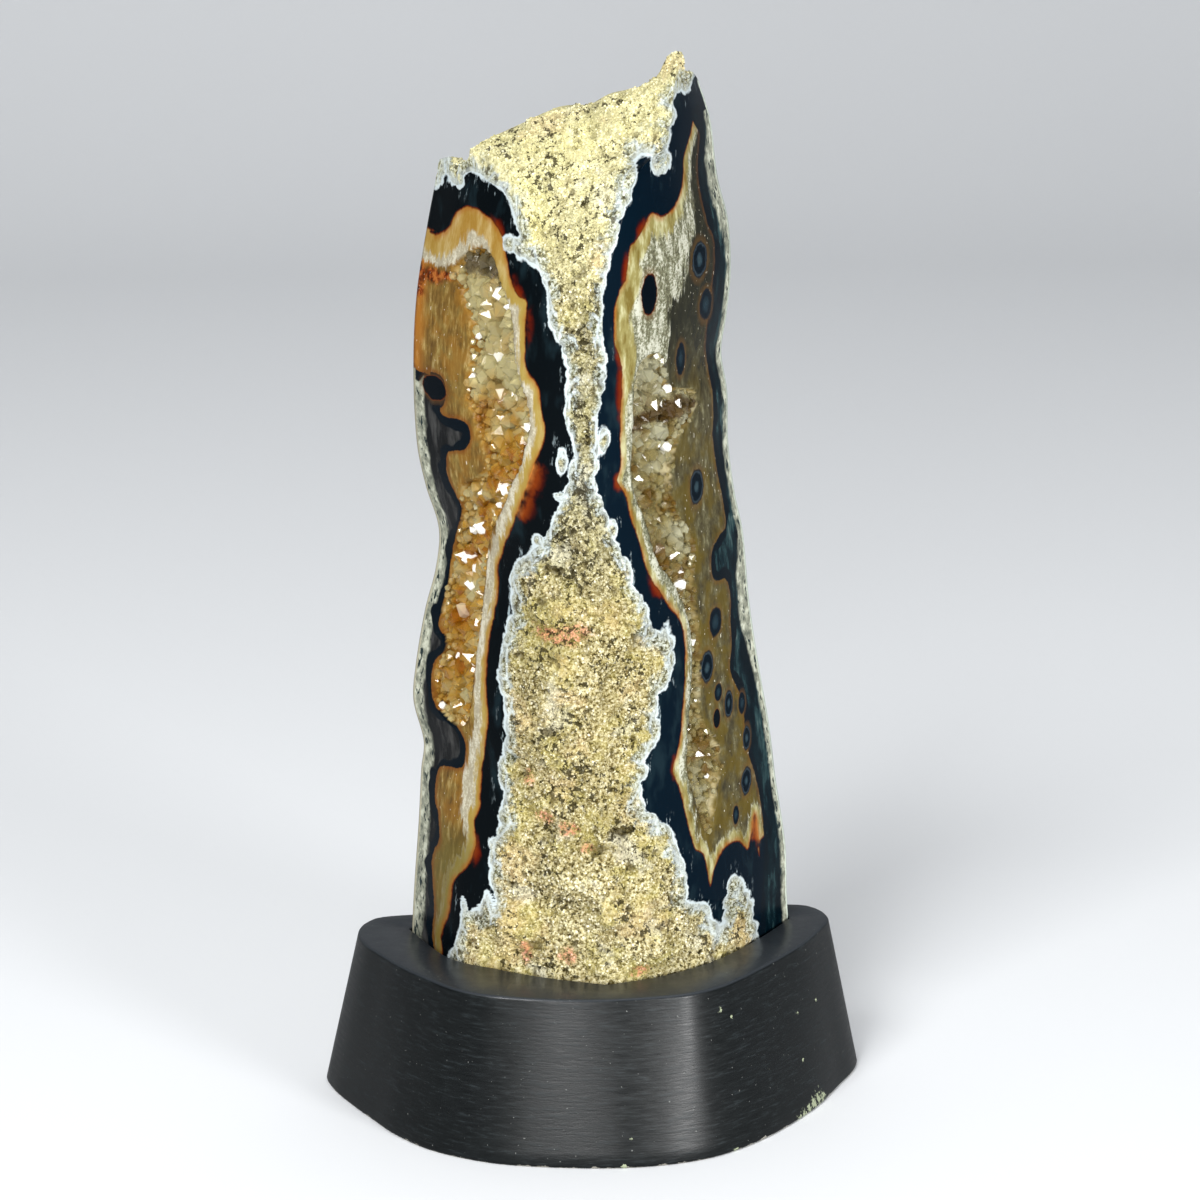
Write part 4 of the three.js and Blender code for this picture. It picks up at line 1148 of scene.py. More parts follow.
# %% The outer rim and the eyes
def rim_color(finish, layers, from_rim, sharp, soft):
    """The layers with the outer rim drawn over them, toward the back corner."""
    corner = finish.math("MULTIPLY_ADD", soft, 3.0, finish.field("corner"))
    right = finish.field("right")
    veins = finish.noise(5.0, 4.0, 0.62, finish.stretch(1, 1, 0.35))
    left_grey = finish.ramp(veins, (0.3, 10, 12, 13), (0.5, 24, 25, 26), (0.7, 64, 64, 63))
    right_grey = finish.ramp(veins, (0.42, 2, 13, 20), (0.52, 8, 26, 32), (0.62, 40, 62, 64),
                             (0.7, 78, 92, 88))
    grey = finish.mix(right, left_grey, right_grey)
    pale = finish.ramp(finish.noise(3.0, 4.0, 0.65), (0.34, 88, 92, 82), (0.5, 138, 140, 124),
                       (0.64, 186, 188, 170))
    specks = finish.mask(finish.noise(1.5, 2.0, 0.6, finish.stretch(1, 1, 0.5)), 0.58, 0.64)
    pale = finish.mix(specks, pale, (38, 48, 48))
    pale_end = finish.math("MULTIPLY_ADD", right, -1.3, 5.0)
    shoulder = finish.window(finish.height(), 0.070, 0.088, 0.096, 0.108)
    knee = finish.window(finish.height(), -0.05, -0.03, -0.02, -0.005)
    wide = finish.math("MULTIPLY", finish.math("ADD", shoulder, knee), right)
    pale_end = finish.math("MULTIPLY_ADD", wide, 3.2, pale_end)
    past_pale = finish.mask(corner, finish.math("SUBTRACT", pale_end, 1.6), pale_end)
    outer = finish.mix(past_pale, pale, grey)
    dark_end = finish.math("MULTIPLY_ADD", finish.noise(8.0, 1.0), -7.0, 1.2)
    dark_end = finish.math("MINIMUM", finish.math("MAXIMUM", dark_end, -4.2), -0.9)
    outer = finish.mix(finish.step(from_rim, dark_end, 0.3, 0.3), outer, (6, 15, 22))
    edge = finish.fade(from_rim, 0.1, 1.8)
    edge = finish.math("MULTIPLY", edge, finish.mask(finish.field("band"), 0.2, 1.2))
    edge_share = finish.math("MULTIPLY_ADD", right, -0.4, 0.65)
    layers = finish.wash(layers, edge, edge_share, (104, 56, 20))
    layers = finish.mix(finish.mask(from_rim, -0.15, 0.15), outer, layers)
    bright = finish.math("MULTIPLY_ADD", sharp, 0.9, finish.field("corner"))
    line = finish.mix(right, (168, 164, 142), (196, 206, 192))
    in_rind = finish.fade(from_rim, -0.4, 0.2)
    shown = finish.math("MULTIPLY", finish.fade(bright, 0.4, 1.1),
                        finish.math("MAXIMUM", right, in_rind))
    return finish.mix(shown, layers, line)


def eye_color(finish, layers, sharp, soft):
    """The layers with the eyes drawn over them: plain dark, grey in the middle, or ringed."""
    eye = finish.math("MULTIPLY_ADD", sharp, 0.2, finish.field("eye"))
    eye = finish.math("MULTIPLY_ADD", soft, 0.5, eye)
    tone = finish.field("eye_tone")
    half = finish.math("MULTIPLY", eye, 0.5)
    ringed = finish.ramp(half, (0.0, 10, 22, 30), (0.05, 46, 62, 68), (0.13, 28, 44, 52),
                         (0.20, 2, 13, 22), (0.36, 2, 13, 22), (0.41, 44, 54, 60),
                         (0.45, 24, 28, 32), (0.5, 60, 48, 30))
    grey = finish.ramp(half, (0.0, 30, 46, 54), (0.2, 18, 34, 42), (0.30, 3, 15, 24),
                       (0.44, 8, 18, 26), (0.5, 64, 48, 30))
    solid = finish.ramp(half, (0.0, 2, 8, 15), (0.45, 3, 9, 15), (0.48, 50, 20, 10),
                        (0.5, 104, 54, 24))
    rings = finish.mix(finish.mask(tone, 0.2, 0.3), solid, grey)
    rings = finish.mix(finish.mask(tone, 0.7, 0.8), rings, ringed)
    halo = finish.fade(eye, 1.0, 1.5)
    layers = finish.wash(layers, halo, 0.4, (92, 64, 30))
    return finish.mix(finish.mask(eye, 0.97, 1.04), rings, layers)


# %% Finish the stone
def stone_finish():
    """One finish for the whole skin: crystals' floor, cut layers, a pale skin line, and rock."""
    finish = Finish("agate and rough rock")
    layers, into_cut, from_rim, sharp, soft = agate_color(finish)
    layers = rim_color(finish, layers, from_rim, sharp, soft)
    layers = eye_color(finish, layers, sharp, soft)
    gold = finish.ramp(finish.noise(6.0, 4.0, 0.6), (0.34, 104, 66, 20), (0.5, 142, 106, 44),
                       (0.66, 170, 150, 100))
    tan = finish.ramp(finish.noise(6.0, 4.0, 0.6), (0.34, 84, 62, 24), (0.5, 126, 110, 68),
                      (0.66, 160, 150, 116))
    druse = finish.mix(finish.field("right"), gold, tan)
    layers = finish.mix(finish.mask(finish.field("hollow"), -0.3, 0.4), layers, druse)
    skin_end = finish.math("MULTIPLY_ADD", soft, 4.0, 0.6)
    past_skin = finish.step(into_cut, skin_end, 0.3, 0.3)
    skin = finish.mix(past_skin, (178, 188, 190), layers)
    rock, fine = rock_color(finish)
    rock = lobed_crust(finish, rock, fine, soft)
    is_rock = finish.mask(into_cut, -0.1, 0.1)
    color = finish.mix(is_rock, rock, skin)
    gloss = finish.math("MULTIPLY_ADD", is_rock, -0.72, 0.9)
    rough_bump = finish.bump(fine, 0.8, finish.math("SUBTRACT", 1.0, is_rock))
    return finish.set(Base_Color=color, Roughness=gloss, Normal=rough_bump,
                      Specular_IOR_Level=0.05)


stone.data.materials.append(stone_finish())
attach(stone, "root")
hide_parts("agate_geode")
print("stone finish:", len(stone.data.materials[0].node_tree.nodes), "nodes")


# %% [markdown]
# Quartz points line both hollows. Each is a six-sided prism with a pyramid on it, so one small
# prototype can be scattered hundreds of times. Geometry Nodes does that: it spreads points over
# the floor of the hollow at a least distance, stands a crystal on each along the floor's
# direction, tilts and sizes it at random with a fixed seed, and makes the copies real.

# %% The parts of the skin that crystals and grains stand on
def patch_of_skin(name, points, index, wanted, values):
    """The faces of a sheet whose four corners are all wanted, as a small mesh of its own."""
    whole = wanted[:-1, :-1] & wanted[1:, :-1] & wanted[:-1, 1:] & wanted[1:, 1:]
    corners = [index[:-1, :-1], index[:-1, 1:], index[1:, 1:], index[1:, :-1]]
    faces = np.stack([c[whole] for c in corners], axis=1).tolist()
    return mesh_object(name, points, faces, values)


def hollow_floor(name, side):
    """The floor of the left or the right hollow, with its distance from the opening."""
    inside = fields["hollow"].reshape(front.shape[:2]) > -0.1
    inside &= (fields["right"].reshape(front.shape[:2]) > 0.5) == (side == "right")
    return patch_of_skin(name, front_points, front_index, inside, {"hollow": fields["hollow"]})


# %% Helpers for node trees
def new_tree(name, inputs):
    """A node tree with named inputs, and its first and last node."""
    tree = bpy.data.node_groups.new(name, "GeometryNodeTree")
    tree.interface.new_socket("Geometry", in_out="INPUT", socket_type="NodeSocketGeometry")
    for label, kind in inputs:
        tree.interface.new_socket(label, in_out="INPUT", socket_type="NodeSocket" + kind)
    tree.interface.new_socket("Geometry", in_out="OUTPUT", socket_type="NodeSocketGeometry")
    return tree, tree.nodes.new("NodeGroupInput"), tree.nodes.new("NodeGroupOutput")


def wire(tree, node, **sockets):
    """Sets or links a node's inputs by name."""
    for name, value in sockets.items():
        socket = node.inputs[name.replace("_", " ")]
        if isinstance(value, bpy.types.NodeSocket):
            tree.links.new(value, socket)
        else:
            socket.default_value = value
    return node


def random_number(tree, low, high, seed):
    """A random number for each point or copy."""
    node = tree.nodes.new("FunctionNodeRandomValue")
    node.data_type = "FLOAT"
    node.inputs[2].default_value, node.inputs[3].default_value = low, high
    node.inputs["Seed"].default_value = seed
    return node.outputs[1]


def random_vector(tree, low, high, seed):
    """Three random numbers for each point or copy."""
    node = tree.nodes.new("FunctionNodeRandomValue")
    node.data_type = "FLOAT_VECTOR"
    node.inputs[0].default_value, node.inputs[1].default_value = low, high
    node.inputs["Seed"].default_value = seed
    return node.outputs[0]


def spread_points(tree, start, density, **more):
    """Points all over the base mesh, no closer to each other than the input Spacing."""
    spread = tree.nodes.new("GeometryNodeDistributePointsOnFaces")
    spread.distribute_method = "POISSON"
    return wire(tree, spread, Mesh=start.outputs["Geometry"], Seed=start.outputs["Seed"],
                Distance_Min=start.outputs["Spacing"], Density_Max=density, **more)


def toned_copies(tree, copies, low, high):
    """Stores a tone of its own on each copy, and makes the copies real."""
    tone = tree.nodes.new("GeometryNodeStoreNamedAttribute")
    tone.data_type, tone.domain = "FLOAT", "INSTANCE"
    wire(tree, tone, Geometry=copies.outputs[0], Name="tone",
         Value=random_number(tree, low, high, 8))
    real = wire(tree, tree.nodes.new("GeometryNodeRealizeInstances"), Geometry=tone.outputs[0])
    return real.outputs[0]


def end_tree(tree, geometry, material, end):
    """Gives all of it one material and hands it out."""
    paint_it = wire(tree, tree.nodes.new("GeometryNodeSetMaterial"), Geometry=geometry,
                    Material=material)
    tree.links.new(paint_it.outputs[0], end.inputs[0])
    return tree


# %% A node tree that grows the crystals, with sizes in metres
CRYSTAL_RADIUS, CRYSTAL_LENGTH = 0.0015, 0.0029
PRISM_SHARE, TIP_SHARE, TAPER = 0.55, 0.45, 0.92
CRYSTAL_DENSITY = 900000.0


def quartz_point(tree, radius, length):
    """A six-sided prism with a pyramid: its foot at the origin, its tip up."""
    prism = wire(tree, tree.nodes.new("GeometryNodeMeshCone"), Vertices=6,
                 Radius_Top=radius * TAPER, Radius_Bottom=radius, Depth=length * PRISM_SHARE)
    prism.fill_type = "NONE"
    tip = wire(tree, tree.nodes.new("GeometryNodeMeshCone"), Vertices=6, Radius_Top=0.0,
               Radius_Bottom=radius * TAPER, Depth=length * TIP_SHARE)
    tip.fill_type = "NONE"
    lift = wire(tree, tree.nodes.new("GeometryNodeTransform"), Geometry=tip.outputs[0],
                Translation=(0, 0, length * PRISM_SHARE))
    join = tree.nodes.new("GeometryNodeJoinGeometry")
    tree.links.new(prism.outputs[0], join.inputs[0])
    tree.links.new(lift.outputs[0], join.inputs[0])
    merge = wire(tree, tree.nodes.new("GeometryNodeMergeByDistance"), Geometry=join.outputs[0],
                 Distance=0.00005)
    return merge.outputs[0]


def named_value(tree, name):
    """A number that is stored on the base mesh."""
    node = tree.nodes.new("GeometryNodeInputNamedAttribute")
    node.data_type = "FLOAT"
    node.inputs["Name"].default_value = name
    return node.outputs["Attribute"]


def between(tree, value, start, end, low, high):
    """Low up to the start, high from the end on, and even between them."""
    node = tree.nodes.new("ShaderNodeMapRange")
    tree.links.new(value, node.inputs[0])
    for n, part in enumerate((start, end, low, high)):
        node.inputs[n + 1].default_value = part
    return node.outputs[0]


def times(tree, a, b):
    node = tree.nodes.new("ShaderNodeMath")
    node.operation = "MULTIPLY"
    tree.links.new(a, node.inputs[0])
    tree.links.new(b, node.inputs[1])
    return node.outputs[0]


def crystal_tree(material):
    """Tilted, turned quartz points of many sizes, smaller beside the hollow's opening."""
    tree, start, end = new_tree("quartz points", [
        ("Spacing", "Float"), ("Seed", "Int"), ("Smallest", "Float"), ("Largest", "Float")])
    spread = spread_points(tree, start, CRYSTAL_DENSITY)
    tilt = tree.nodes.new("FunctionNodeRotateRotation")
    tilt.rotation_space = "LOCAL"
    tree.links.new(spread.outputs["Rotation"], tilt.inputs[0])
    tree.links.new(random_vector(tree, (-0.5, -0.5, 0), (0.5, 0.5, 6.3), 3), tilt.inputs[1])
    size = tree.nodes.new("FunctionNodeRandomValue")
    size.data_type = "FLOAT"
    tree.links.new(start.outputs["Smallest"], size.inputs[2])
    tree.links.new(start.outputs["Largest"], size.inputs[3])
    size.inputs["Seed"].default_value = 5
    room = between(tree, named_value(tree, "hollow"), 0.0, 3.4, 0.4, 1.0)
    copies = wire(tree, tree.nodes.new("GeometryNodeInstanceOnPoints"),
                  Points=spread.outputs["Points"],
                  Instance=quartz_point(tree, CRYSTAL_RADIUS, CRYSTAL_LENGTH),
                  Rotation=tilt.outputs[0], Scale=times(tree, size.outputs[1], room))
    return end_tree(tree, toned_copies(tree, copies, 0.0, 1.0), material, end)


# %% Run a node tree
def run_tree(name, base, tree, **inputs):
    """Runs a node tree on a base mesh and keeps the result as a plain mesh."""
    modifier = base.modifiers.new("grow", "NODES")
    modifier.node_group = tree
    for item in tree.interface.items_tree:
        if item.in_out == "INPUT" and item.name in inputs:
            modifier[item.identifier] = inputs[item.name]
    evaluated = base.evaluated_get(bpy.context.evaluated_depsgraph_get())
    mesh = bpy.data.meshes.new_from_object(evaluated)
    bpy.data.objects.remove(base)
    mesh.name = name
    result = bpy.data.objects.new(name, mesh)
    bpy.context.scene.collection.objects.link(result)
    print(name + ":", sum(len(p.vertices) - 2 for p in mesh.polygons), "triangles")
    return result


# %% [markdown]
# Quartz lets light through, and the iron in it makes it golden on the left and smoky tan on the
# right. The shader is partly see-through with the refraction of quartz, and each crystal reads its
# own stored tone, so that neighbours differ as they do in the stone. A few of them are painted
# nearly white, a painted highlight for the faces that flash in the light. A band across each hollow
# is its deep cave, and it gets painted shade.

# %% Quartz finishes
def quartz_finish(name, deep, middle, light, cave_at, cave_half, cave_shade_color):
    """Three tones of quartz, with painted highlights and painted cave shade. The cave's height is
    over the stone's middle, in metres.
    """
    finish = Finish(name)
    own = finish.field("tone")
    own_part = finish.math("MULTIPLY_ADD", own, 0.3, -0.35)
    tone = finish.math("MULTIPLY_ADD", finish.noise(9.0, 2.0), 1.3, own_part)
    pale = finish.math("MULTIPLY", finish.mask(finish.height(), 0.028, 0.05), 0.5)
    lighter = finish.math("ADD", tone, finish.math("MULTIPLY", pale, 0.5))
    color = finish.ramp(lighter, (0.2, *deep), (0.45, *middle), (0.75, *light))
    color = finish.mix(pale, color, light)
    wander = finish.math("MULTIPLY_ADD", finish.noise(5.0, 2.0), 0.008, -0.004 - cave_at)
    from_cave = finish.math("ABSOLUTE", finish.math("ADD", finish.height(), wander))
    # Painted shade: the band of the deep cave is washed dark.
    cave = finish.fade(from_cave, cave_half * 0.7, cave_half * 1.5)
    color = finish.wash(color, cave, 0.85, cave_shade_color)
    # Painted highlight: a few crystals are nearly white, for faces that flash in the light.
    flash = finish.mask(own, 0.955, 0.96)
    color = finish.mix(flash, color, (252, 250, 242))
    clear = finish.math("MULTIPLY_ADD", flash, -0.5, 0.6)
    rough = finish.math("MULTIPLY_ADD", finish.noise(0.9, 3.0, 0.6), 0.2, 0.0)
    return finish.set(Base_Color=color, Roughness=rough, IOR=1.54, Transmission_Weight=clear,
                      Specular_IOR_Level=0.6)


golden = quartz_finish("golden quartz", (176, 108, 16), (208, 162, 66), (216, 204, 148), 0.0750,
                       0.0040, (96, 82, 58))
smoky = quartz_finish("tan quartz", (126, 96, 38), (168, 154, 100), (198, 194, 160), 0.0345,
                      0.0022, (84, 56, 14))

# %% Grow the crystals
left_crystals = run_tree("left_hollow_quartz", hollow_floor("left floor", "left"),
                         crystal_tree(golden), Spacing=0.0017, Seed=4, Smallest=0.7, Largest=1.9)
right_crystals = run_tree("right_hollow_quartz", hollow_floor("right floor", "right"),
                          crystal_tree(smoky), Spacing=0.0017, Seed=9, Smallest=0.65, Largest=1.8)
for crystals, node, slot in ((left_crystals, "left_hollow_crystals", "golden_quartz"),
                             (right_crystals, "right_hollow_crystals", "tan_quartz")):
    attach(crystals, "root")
    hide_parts(node)


# %% [markdown]
# The rough rock is a crust of real grains a little under a millimetre across. A grid of points is
# too coarse for them, so they are scattered like the crystals: small faceted balls, squeezed,
# turned and toned at random, half sunk into the rock. They keep out of the low pits, which stay
# dark. The back shows less of itself, so its grains are sparser.

# %% Grains of rock
GRAIN_DENSITY = 4000000.0
LOWEST_GRAIN = -0.8


def grain_tree(material):
    """Faceted balls on all rock that lies high enough, with sizes in metres."""
    tree, start, end = new_tree("rock grains", [("Spacing", "Float"), ("Grain", "Float"),
                                                ("Seed", "Int")])
    high_enough = tree.nodes.new("FunctionNodeCompare")
    high_enough.operation = "GREATER_THAN"
    tree.links.new(named_value(tree, "relief"), high_enough.inputs[0])
    high_enough.inputs[1].default_value = LOWEST_GRAIN
    spread = spread_points(tree, start, GRAIN_DENSITY, Selection=high_enough.outputs[0])
    ball = wire(tree, tree.nodes.new("GeometryNodeMeshIcoSphere"), Radius=start.outputs["Grain"],
                Subdivisions=1)
    turn = random_vector(tree, (0, 0, 0), (6.3, 6.3, 6.3), 2)
    squeeze = random_vector(tree, (0.55, 0.55, 0.55), (1.45, 1.45, 1.25), 6)
    copies = wire(tree, tree.nodes.new("GeometryNodeInstanceOnPoints"),
                  Points=spread.outputs["Points"], Instance=ball.outputs["Mesh"], Scale=squeeze)
    tree.links.new(turn, copies.inputs["Rotation"])
    flat = wire(tree, tree.nodes.new("GeometryNodeSetShadeSmooth"), Shade_Smooth=False,
                Geometry=toned_copies(tree, copies, -1.0, 1.0))
    return end_tree(tree, flat.outputs[0], material, end)


def grain_finish():
    """The rock's colours, with the same painted light and shade, so that the grains melt into the
    skin under them.
    """
    finish = Finish("rock grains")
    soft = finish.math("SUBTRACT", finish.noise(5.0, 3.0, 0.6), 0.5)
    rock, fine = rock_color(finish)
    rock = lobed_crust(finish, rock, fine, soft)
    return finish.set(Base_Color=rock, Roughness=0.88, Specular_IOR_Level=0.2)


# %% Cover the rock with grains, a little away from the cuts and from the stand
FRONT_MARGIN, BACK_MARGIN = 2.0, 1.5
LOWEST_ROCK = STONE_STRAIGHT + 1.0
rocky_front = (fields["rock"] > FRONT_MARGIN).reshape(front.shape[:2])
rocky_front &= front_points[:, 2].reshape(front.shape[:2]) > LOWEST_ROCK
rock_values = {name: stone_values[name][:len(front_points)]
               for name in ("rock", "relief", "stain")}
front_patch = patch_of_skin("front rock", front_points, front_index, rocky_front, rock_values)
back_grid = np.arange(back_index.size).reshape(back_index.shape)
rocky_back = (back_rock > BACK_MARGIN).reshape(back.shape[:2])
rocky_back &= back_points[:, 2].reshape(back.shape[:2]) > LOWEST_ROCK
back_values = {"rock": back_rock, "relief": back_height, "stain": np.full(len(back_points), FAR)}
back_patch = patch_of_skin("back rock", back_points, back_grid[:, ::-1], rocky_back, back_values)
grains_tree = grain_tree(grain_finish())
front_grains = run_tree("front_rock_grains", front_patch, grains_tree, Spacing=0.0008,
                        Grain=0.00039, Seed=12)
back_grains = run_tree("back_rock_grains", back_patch, grains_tree, Spacing=0.0018,
                       Grain=0.00045, Seed=13)
for grains_piece in (front_grains, back_grains):
    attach(grains_piece, "root")
    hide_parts("agate_geode")


# %% [markdown]
# The stand is a low spreading block: its foot is wider than its top, the corners are round, and
# the top edge follows the stone at one even border. It is a closed loft of rings, each ring
# sampled by direction from one centre, with softened rims and a pocket that holds the stone.

# %% The stand's outlines, in millimetres
STAND_CENTRE = np.array([0.0, 4.0])
STAND_STEPS = 240
SOFT_EDGE = 1.0
SIDE_INSET = 0.15
FOOT_INSET = 2.2
POCKET_GAP = 1.2
STAND_TOP = [
    (0, -36.8), (15, -35.4), (23.2, -33.2), (32, -27.3), (41.4, -17.2), (51, -5.3), (58, 4.6),
    (64.1, 16.1), (67, 24), (64.5, 32.6), (57, 36.2), (30, 37), (0, 37), (-30, 37), (-57, 36.2),
    (-64.3, 31.5), (-66.8, 23), (-65.2, 13), (-60.5, 2.8), (-56.2, -5.5), (-49.5, -15.5),
    (-42.9, -23.9), (-36.4, -29), (-29.6, -32), (-15, -35.7),
]
STAND_FOOT = [
    (0, -45.4), (13.5, -44.4), (24.3, -41.4), (32.6, -36.8), (41.4, -29.6), (50.6, -19.6),
    (60.4, -6.4), (68.8, 9), (74.5, 20), (76, 29.5), (71, 39.5), (60, 44.6), (30, 45.4), (0, 45.4),
    (-30, 45.4), (-60, 44.6), (-71, 39.5), (-76, 28), (-74.6, 18), (-70.1, 6.6), (-64.4, -5.4),
    (-58.3, -17.2), (-48.6, -29.2), (-34.1, -38.6), (-18, -43.2),
]


ring_turns = (np.arange(STAND_STEPS) + 0.5) / STAND_STEPS * 2 * np.pi - np.pi


def ring_by_direction(outline):
    """The outline's reach from the stand's centre, at even steps of direction."""
    around = outline - STAND_CENTRE
    turn = np.arctan2(around[:, 1], around[:, 0])
    reach = np.linalg.norm(around, axis=1)
    order = np.argsort(turn)
    return np.interp(ring_turns, turn[order], reach[order], period=2 * np.pi)


def ring_points(reach, inset, z):
    """The points of a level ring, at a height and drawn in by an inset."""
    x = STAND_CENTRE[0] + (reach - inset) * np.cos(ring_turns)
    y = STAND_CENTRE[1] + (reach - inset) * np.sin(ring_turns)
    return np.stack([x, y, np.full(STAND_STEPS, float(z))], axis=1)


# %% Loft the stand
def stand_rings():
    """Rings from the foot's middle, up the side, over the rim and down into the pocket."""
    top = ring_by_direction(smooth_outline(STAND_TOP, 16))
    foot = ring_by_direction(smooth_outline(STAND_FOOT, 16))
    stone_foot = np.concatenate([front_points[:columns, :2], back_points[:BACK_COLUMNS + 1, :2]])
    pocket = ring_by_direction(stone_foot) + POCKET_GAP
    floor = STAND_HEIGHT - POCKET_DEPTH
    rings = [ring_points(foot, FOOT_INSET, 0)]
    for turn in np.linspace(0, 1, 5):
        lift = SOFT_EDGE * (1 - math.cos(turn * math.pi / 2))
        inset = SIDE_INSET + SOFT_EDGE * (1 - math.sin(turn * math.pi / 2))
        rings.append(ring_points(foot, inset, lift))
    for up in np.linspace(0, 1, 14)[1:]:
        z = blend(SOFT_EDGE, STAND_HEIGHT - SOFT_EDGE, up)
        rings.append(ring_points(blend(foot - SIDE_INSET, top - SIDE_INSET, up), 0, z))
    for turn in np.linspace(0, 1, 6)[1:]:
        drop = SOFT_EDGE * (1 - math.sin(turn * math.pi / 2))
        inset = SIDE_INSET + SOFT_EDGE * (1 - math.cos(turn * math.pi / 2))
        rings.append(ring_points(top, inset, STAND_HEIGHT - drop))
    for inset, z in ((-0.5, STAND_HEIGHT), (-0.1, STAND_HEIGHT - 0.3), (0, STAND_HEIGHT - 0.8),
                     (0, floor)):
        rings.append(ring_points(pocket, inset, z))
    return rings


def loft(rings):
    """Closed walls through the rings, with a flat end at the first and at the last."""
    count = len(rings[0])
    faces = []
    for n in range(len(rings) - 1):
        low, high = n * count, (n + 1) * count
        faces += [(low + i, low + (i + 1) % count, high + (i + 1) % count, high + i)
                  for i in range(count)]
    faces.append(tuple(range(count))[::-1])
    faces.append(tuple((len(rings) - 1) * count + i for i in range(count)))
    return np.concatenate(rings), faces


stand = mesh_object("black_stand", *loft(stand_rings()))
stand.data.polygons.foreach_set("use_smooth", [len(p.vertices) == 4 for p in stand.data.polygons])
print("black_stand:", len(stand.data.polygons), "faces")


# %% [markdown]
# The wood is stained black and sealed. Its sides show fine level brush marks, its top is painted a
# little greyer as a painted reflection of the pale room, and the finish is worn along the foot,
# with specks of dust and a few pale scuffs. All of that is colour and gloss. Only the brush marks
# have a depth, and they are a light bump. A scuff is a place and a reach in millimetres, and noise
# makes its edge ragged.

# %% Finish the stand
SCUFFS = [
    (53.8, -15.0, 0.4, 2.0), (55.4, -13.0, 0.8, 2.4), (57.0, -10.8, 1.2, 2.6),
    (58.6, -8.2, 1.8, 3.0), (60.2, -5.6, 2.2, 3.2), (61.8, -3.0, 1.6, 2.4), (54.2, -6.2, 28, 0.9),
    (60.6, 3.7, 28, 0.8), (55.3, -8.6, 15, 0.8), (29.6, -30.2, 39, 1.0), (33.0, -28.4, 36, 0.8),
    (4.2, -43.6, 8, 0.8), (33.7, -35.9, 0.5, 1.2), (2.0, -45.0, 0.6, 1.3),
]


def wood_finish():
    """Black wood, brushed on its sides and worn at its foot."""
    finish = Finish("black stained wood")
    height = finish.math("MULTIPLY", finish.above_floor(), 1000)
    brush = finish.noise(0.8, 3.0, 0.7, finish.stretch(0.13, 0.13, 1))
    color = finish.ramp(brush, (0.3, 5, 8, 9), (0.55, 11, 15, 16), (0.75, 30, 36, 38))
    # Painted reflection: the top is painted greyer, standing for the room mirrored in it.
    painted_top_sheen = finish.mask(height, STAND_HEIGHT - 0.7, STAND_HEIGHT - 0.2)
    color = finish.mix(painted_top_sheen, color, (42, 46, 50))
    dust = finish.mask(finish.noise(0.8, 1.0, 0.5), 0.76, 0.8)
    color = finish.wash(color, dust, 0.6, (120, 122, 118))
    wear = finish.math("MULTIPLY_ADD", finish.noise(3.0, 3.0, 0.7), -3.4, 2.0)
    worn = finish.math("LESS_THAN", height, wear)
    color = finish.wash(color, worn, 0.75, (150, 146, 136))
    nearest = FAR
    for x, y, z, radius in SCUFFS:
        away = finish.math("DIVIDE", finish.away_from(x, y, z), radius)
        nearest = finish.math("MINIMUM", away, nearest)
    ragged = finish.math("MULTIPLY_ADD", finish.noise(1.0, 3.0, 0.7), 3.2, nearest)
    scuffed = finish.fade(ragged, 1.9, 2.2)
    color = finish.wash(color, scuffed, 0.8, (160, 168, 138))
    rough = finish.math("MULTIPLY_ADD", brush, 0.3, 0.2)
    return finish.set(Base_Color=color, Roughness=rough, Normal=finish.bump(brush, 0.05),
                      Specular_IOR_Level=0.3)


stand.data.materials.append(wood_finish())
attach(stand, "root")
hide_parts("wooden_stand")


# %% [markdown]
# A small studio: a pale floor that curves up behind into a backdrop, a large soft light above and
# to the left of the camera, a low one in front, a wide one on top, and a tall one at the right
# that draws the upright highlight on the stand. The floor and the room's own light are weaker in
# reflections, as in a room with dark walls, so that black wood stays black. The camera stands
# where the photograph was taken, a little left of the piece and above it.

# %% Floor and backdrop
def sweep_floor():
    """A floor that bends up into a wall behind the piece."""
    wide, front_y, bend_y, radius, high = 3.0, -2.2, 1.3, 0.9, 2.6
    profile = [(front_y, 0.0), (bend_y, 0.0)]
    profile += [(bend_y + radius * math.sin(a), radius * (1 - math.cos(a)))
                for a in np.linspace(0, math.pi / 2, 17)[1:]]
    profile.append((bend_y + radius, high))
    points = [(x, y, z) for y, z in profile for x in (-wide, wide)]
    faces = [(2 * n, 2 * n + 1, 2 * n + 3, 2 * n + 2) for n in range(len(profile) - 1)]
    mesh = bpy.data.meshes.new("studio_floor")
    mesh.from_pydata(points, [], faces)
    mesh.polygons.foreach_set("use_smooth", [True] * len(faces))
    floor = bpy.data.objects.new("studio_floor", mesh)
    bpy.context.scene.collection.objects.link(floor)
    return floor


def floor_finish():
    """Pale, but darker where the piece mirrors it."""
    finish = Finish("pale floor")
    ray = finish.tree.nodes.new("ShaderNodeLightPath")
    color = finish.mix(ray.outputs["Is Glossy Ray"], (222, 224, 226), (150, 152, 154))
    return finish.set(Base_Color=color, Roughness=0.75, Specular_IOR_Level=0.2)


floor = sweep_floor()
floor.data.materials.append(floor_finish())


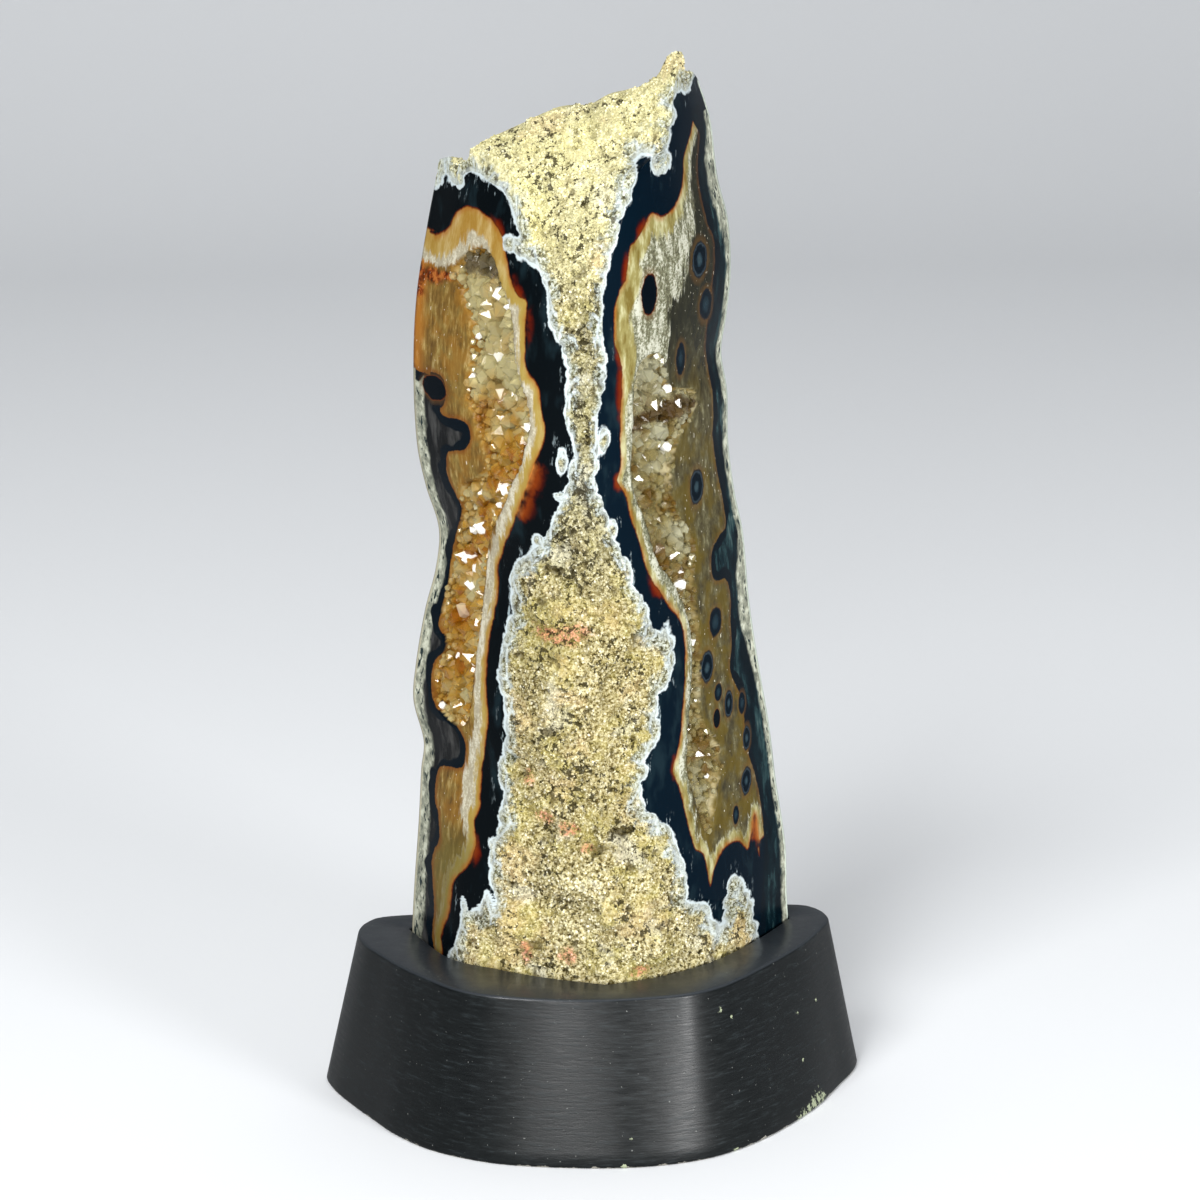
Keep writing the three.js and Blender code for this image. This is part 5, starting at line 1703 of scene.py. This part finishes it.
# %% Lights
def soft_light(name, place, aim, width, height, power):
    """A rectangle of light, in metres and watts, that faces the aim."""
    data = bpy.data.lights.new(name, "AREA")
    data.shape = "RECTANGLE"
    data.size, data.size_y, data.energy = width, height, power
    light = bpy.data.objects.new(name, data)
    light.location = place
    light.rotation_euler = (Vector(aim) - Vector(place)).to_track_quat("-Z", "Y").to_euler()
    bpy.context.scene.collection.objects.link(light)
    return light


MIDDLE = (0.0, 0.0, 0.14)
main_light = soft_light("main soft light", (-0.7, -1.1, 1.3), MIDDLE, 0.6, 0.6, 27)
side_light = soft_light("tall side light", (0.9, -1.25, 0.3), MIDDLE, 0.34, 0.6, 23.5)
front_light = soft_light("low front light", (-0.35, -1.6, 0.3), MIDDLE, 0.5, 0.5, 13)
top_light = soft_light("top light", (0.1, 0.3, 1.9), MIDDLE, 1.4, 1.4, 11)


# %% The room's own light
ROOM_LIGHT, MIRRORED_LIGHT = 0.32, 0.15
world = bpy.data.worlds.new("pale room")
world.use_nodes = True
background = world.node_tree.nodes["Background"]
background.inputs["Color"].default_value = paint(236, 239, 243)
ray = world.node_tree.nodes.new("ShaderNodeLightPath")
mirrored = world.node_tree.nodes.new("ShaderNodeMath")
mirrored.operation = "SUBTRACT"
strength = world.node_tree.nodes.new("ShaderNodeMapRange")
strength.inputs["To Min"].default_value = ROOM_LIGHT
strength.inputs["To Max"].default_value = MIRRORED_LIGHT
world.node_tree.links.new(ray.outputs["Is Glossy Ray"], mirrored.inputs[0])
world.node_tree.links.new(ray.outputs["Is Transmission Ray"], mirrored.inputs[1])
world.node_tree.links.new(mirrored.outputs[0], strength.inputs["Value"])
world.node_tree.links.new(strength.outputs[0], background.inputs["Strength"])
bpy.context.scene.world = world
bpy.context.scene.view_settings.view_transform = "Standard"


# %% Camera
camera_data = bpy.data.cameras.new("camera")
camera_data.lens = 120
camera_data.sensor_width = 36
camera = bpy.data.objects.new("camera", camera_data)
camera.location = Vector((-91.32, -1039.23, 425.78)) * MM
aim = Vector((-0.4, 0, 146.26)) * MM
camera.rotation_euler = (aim - camera.location).to_track_quat("-Z", "Y").to_euler()
bpy.context.scene.collection.objects.link(camera)
bpy.context.scene.camera = camera
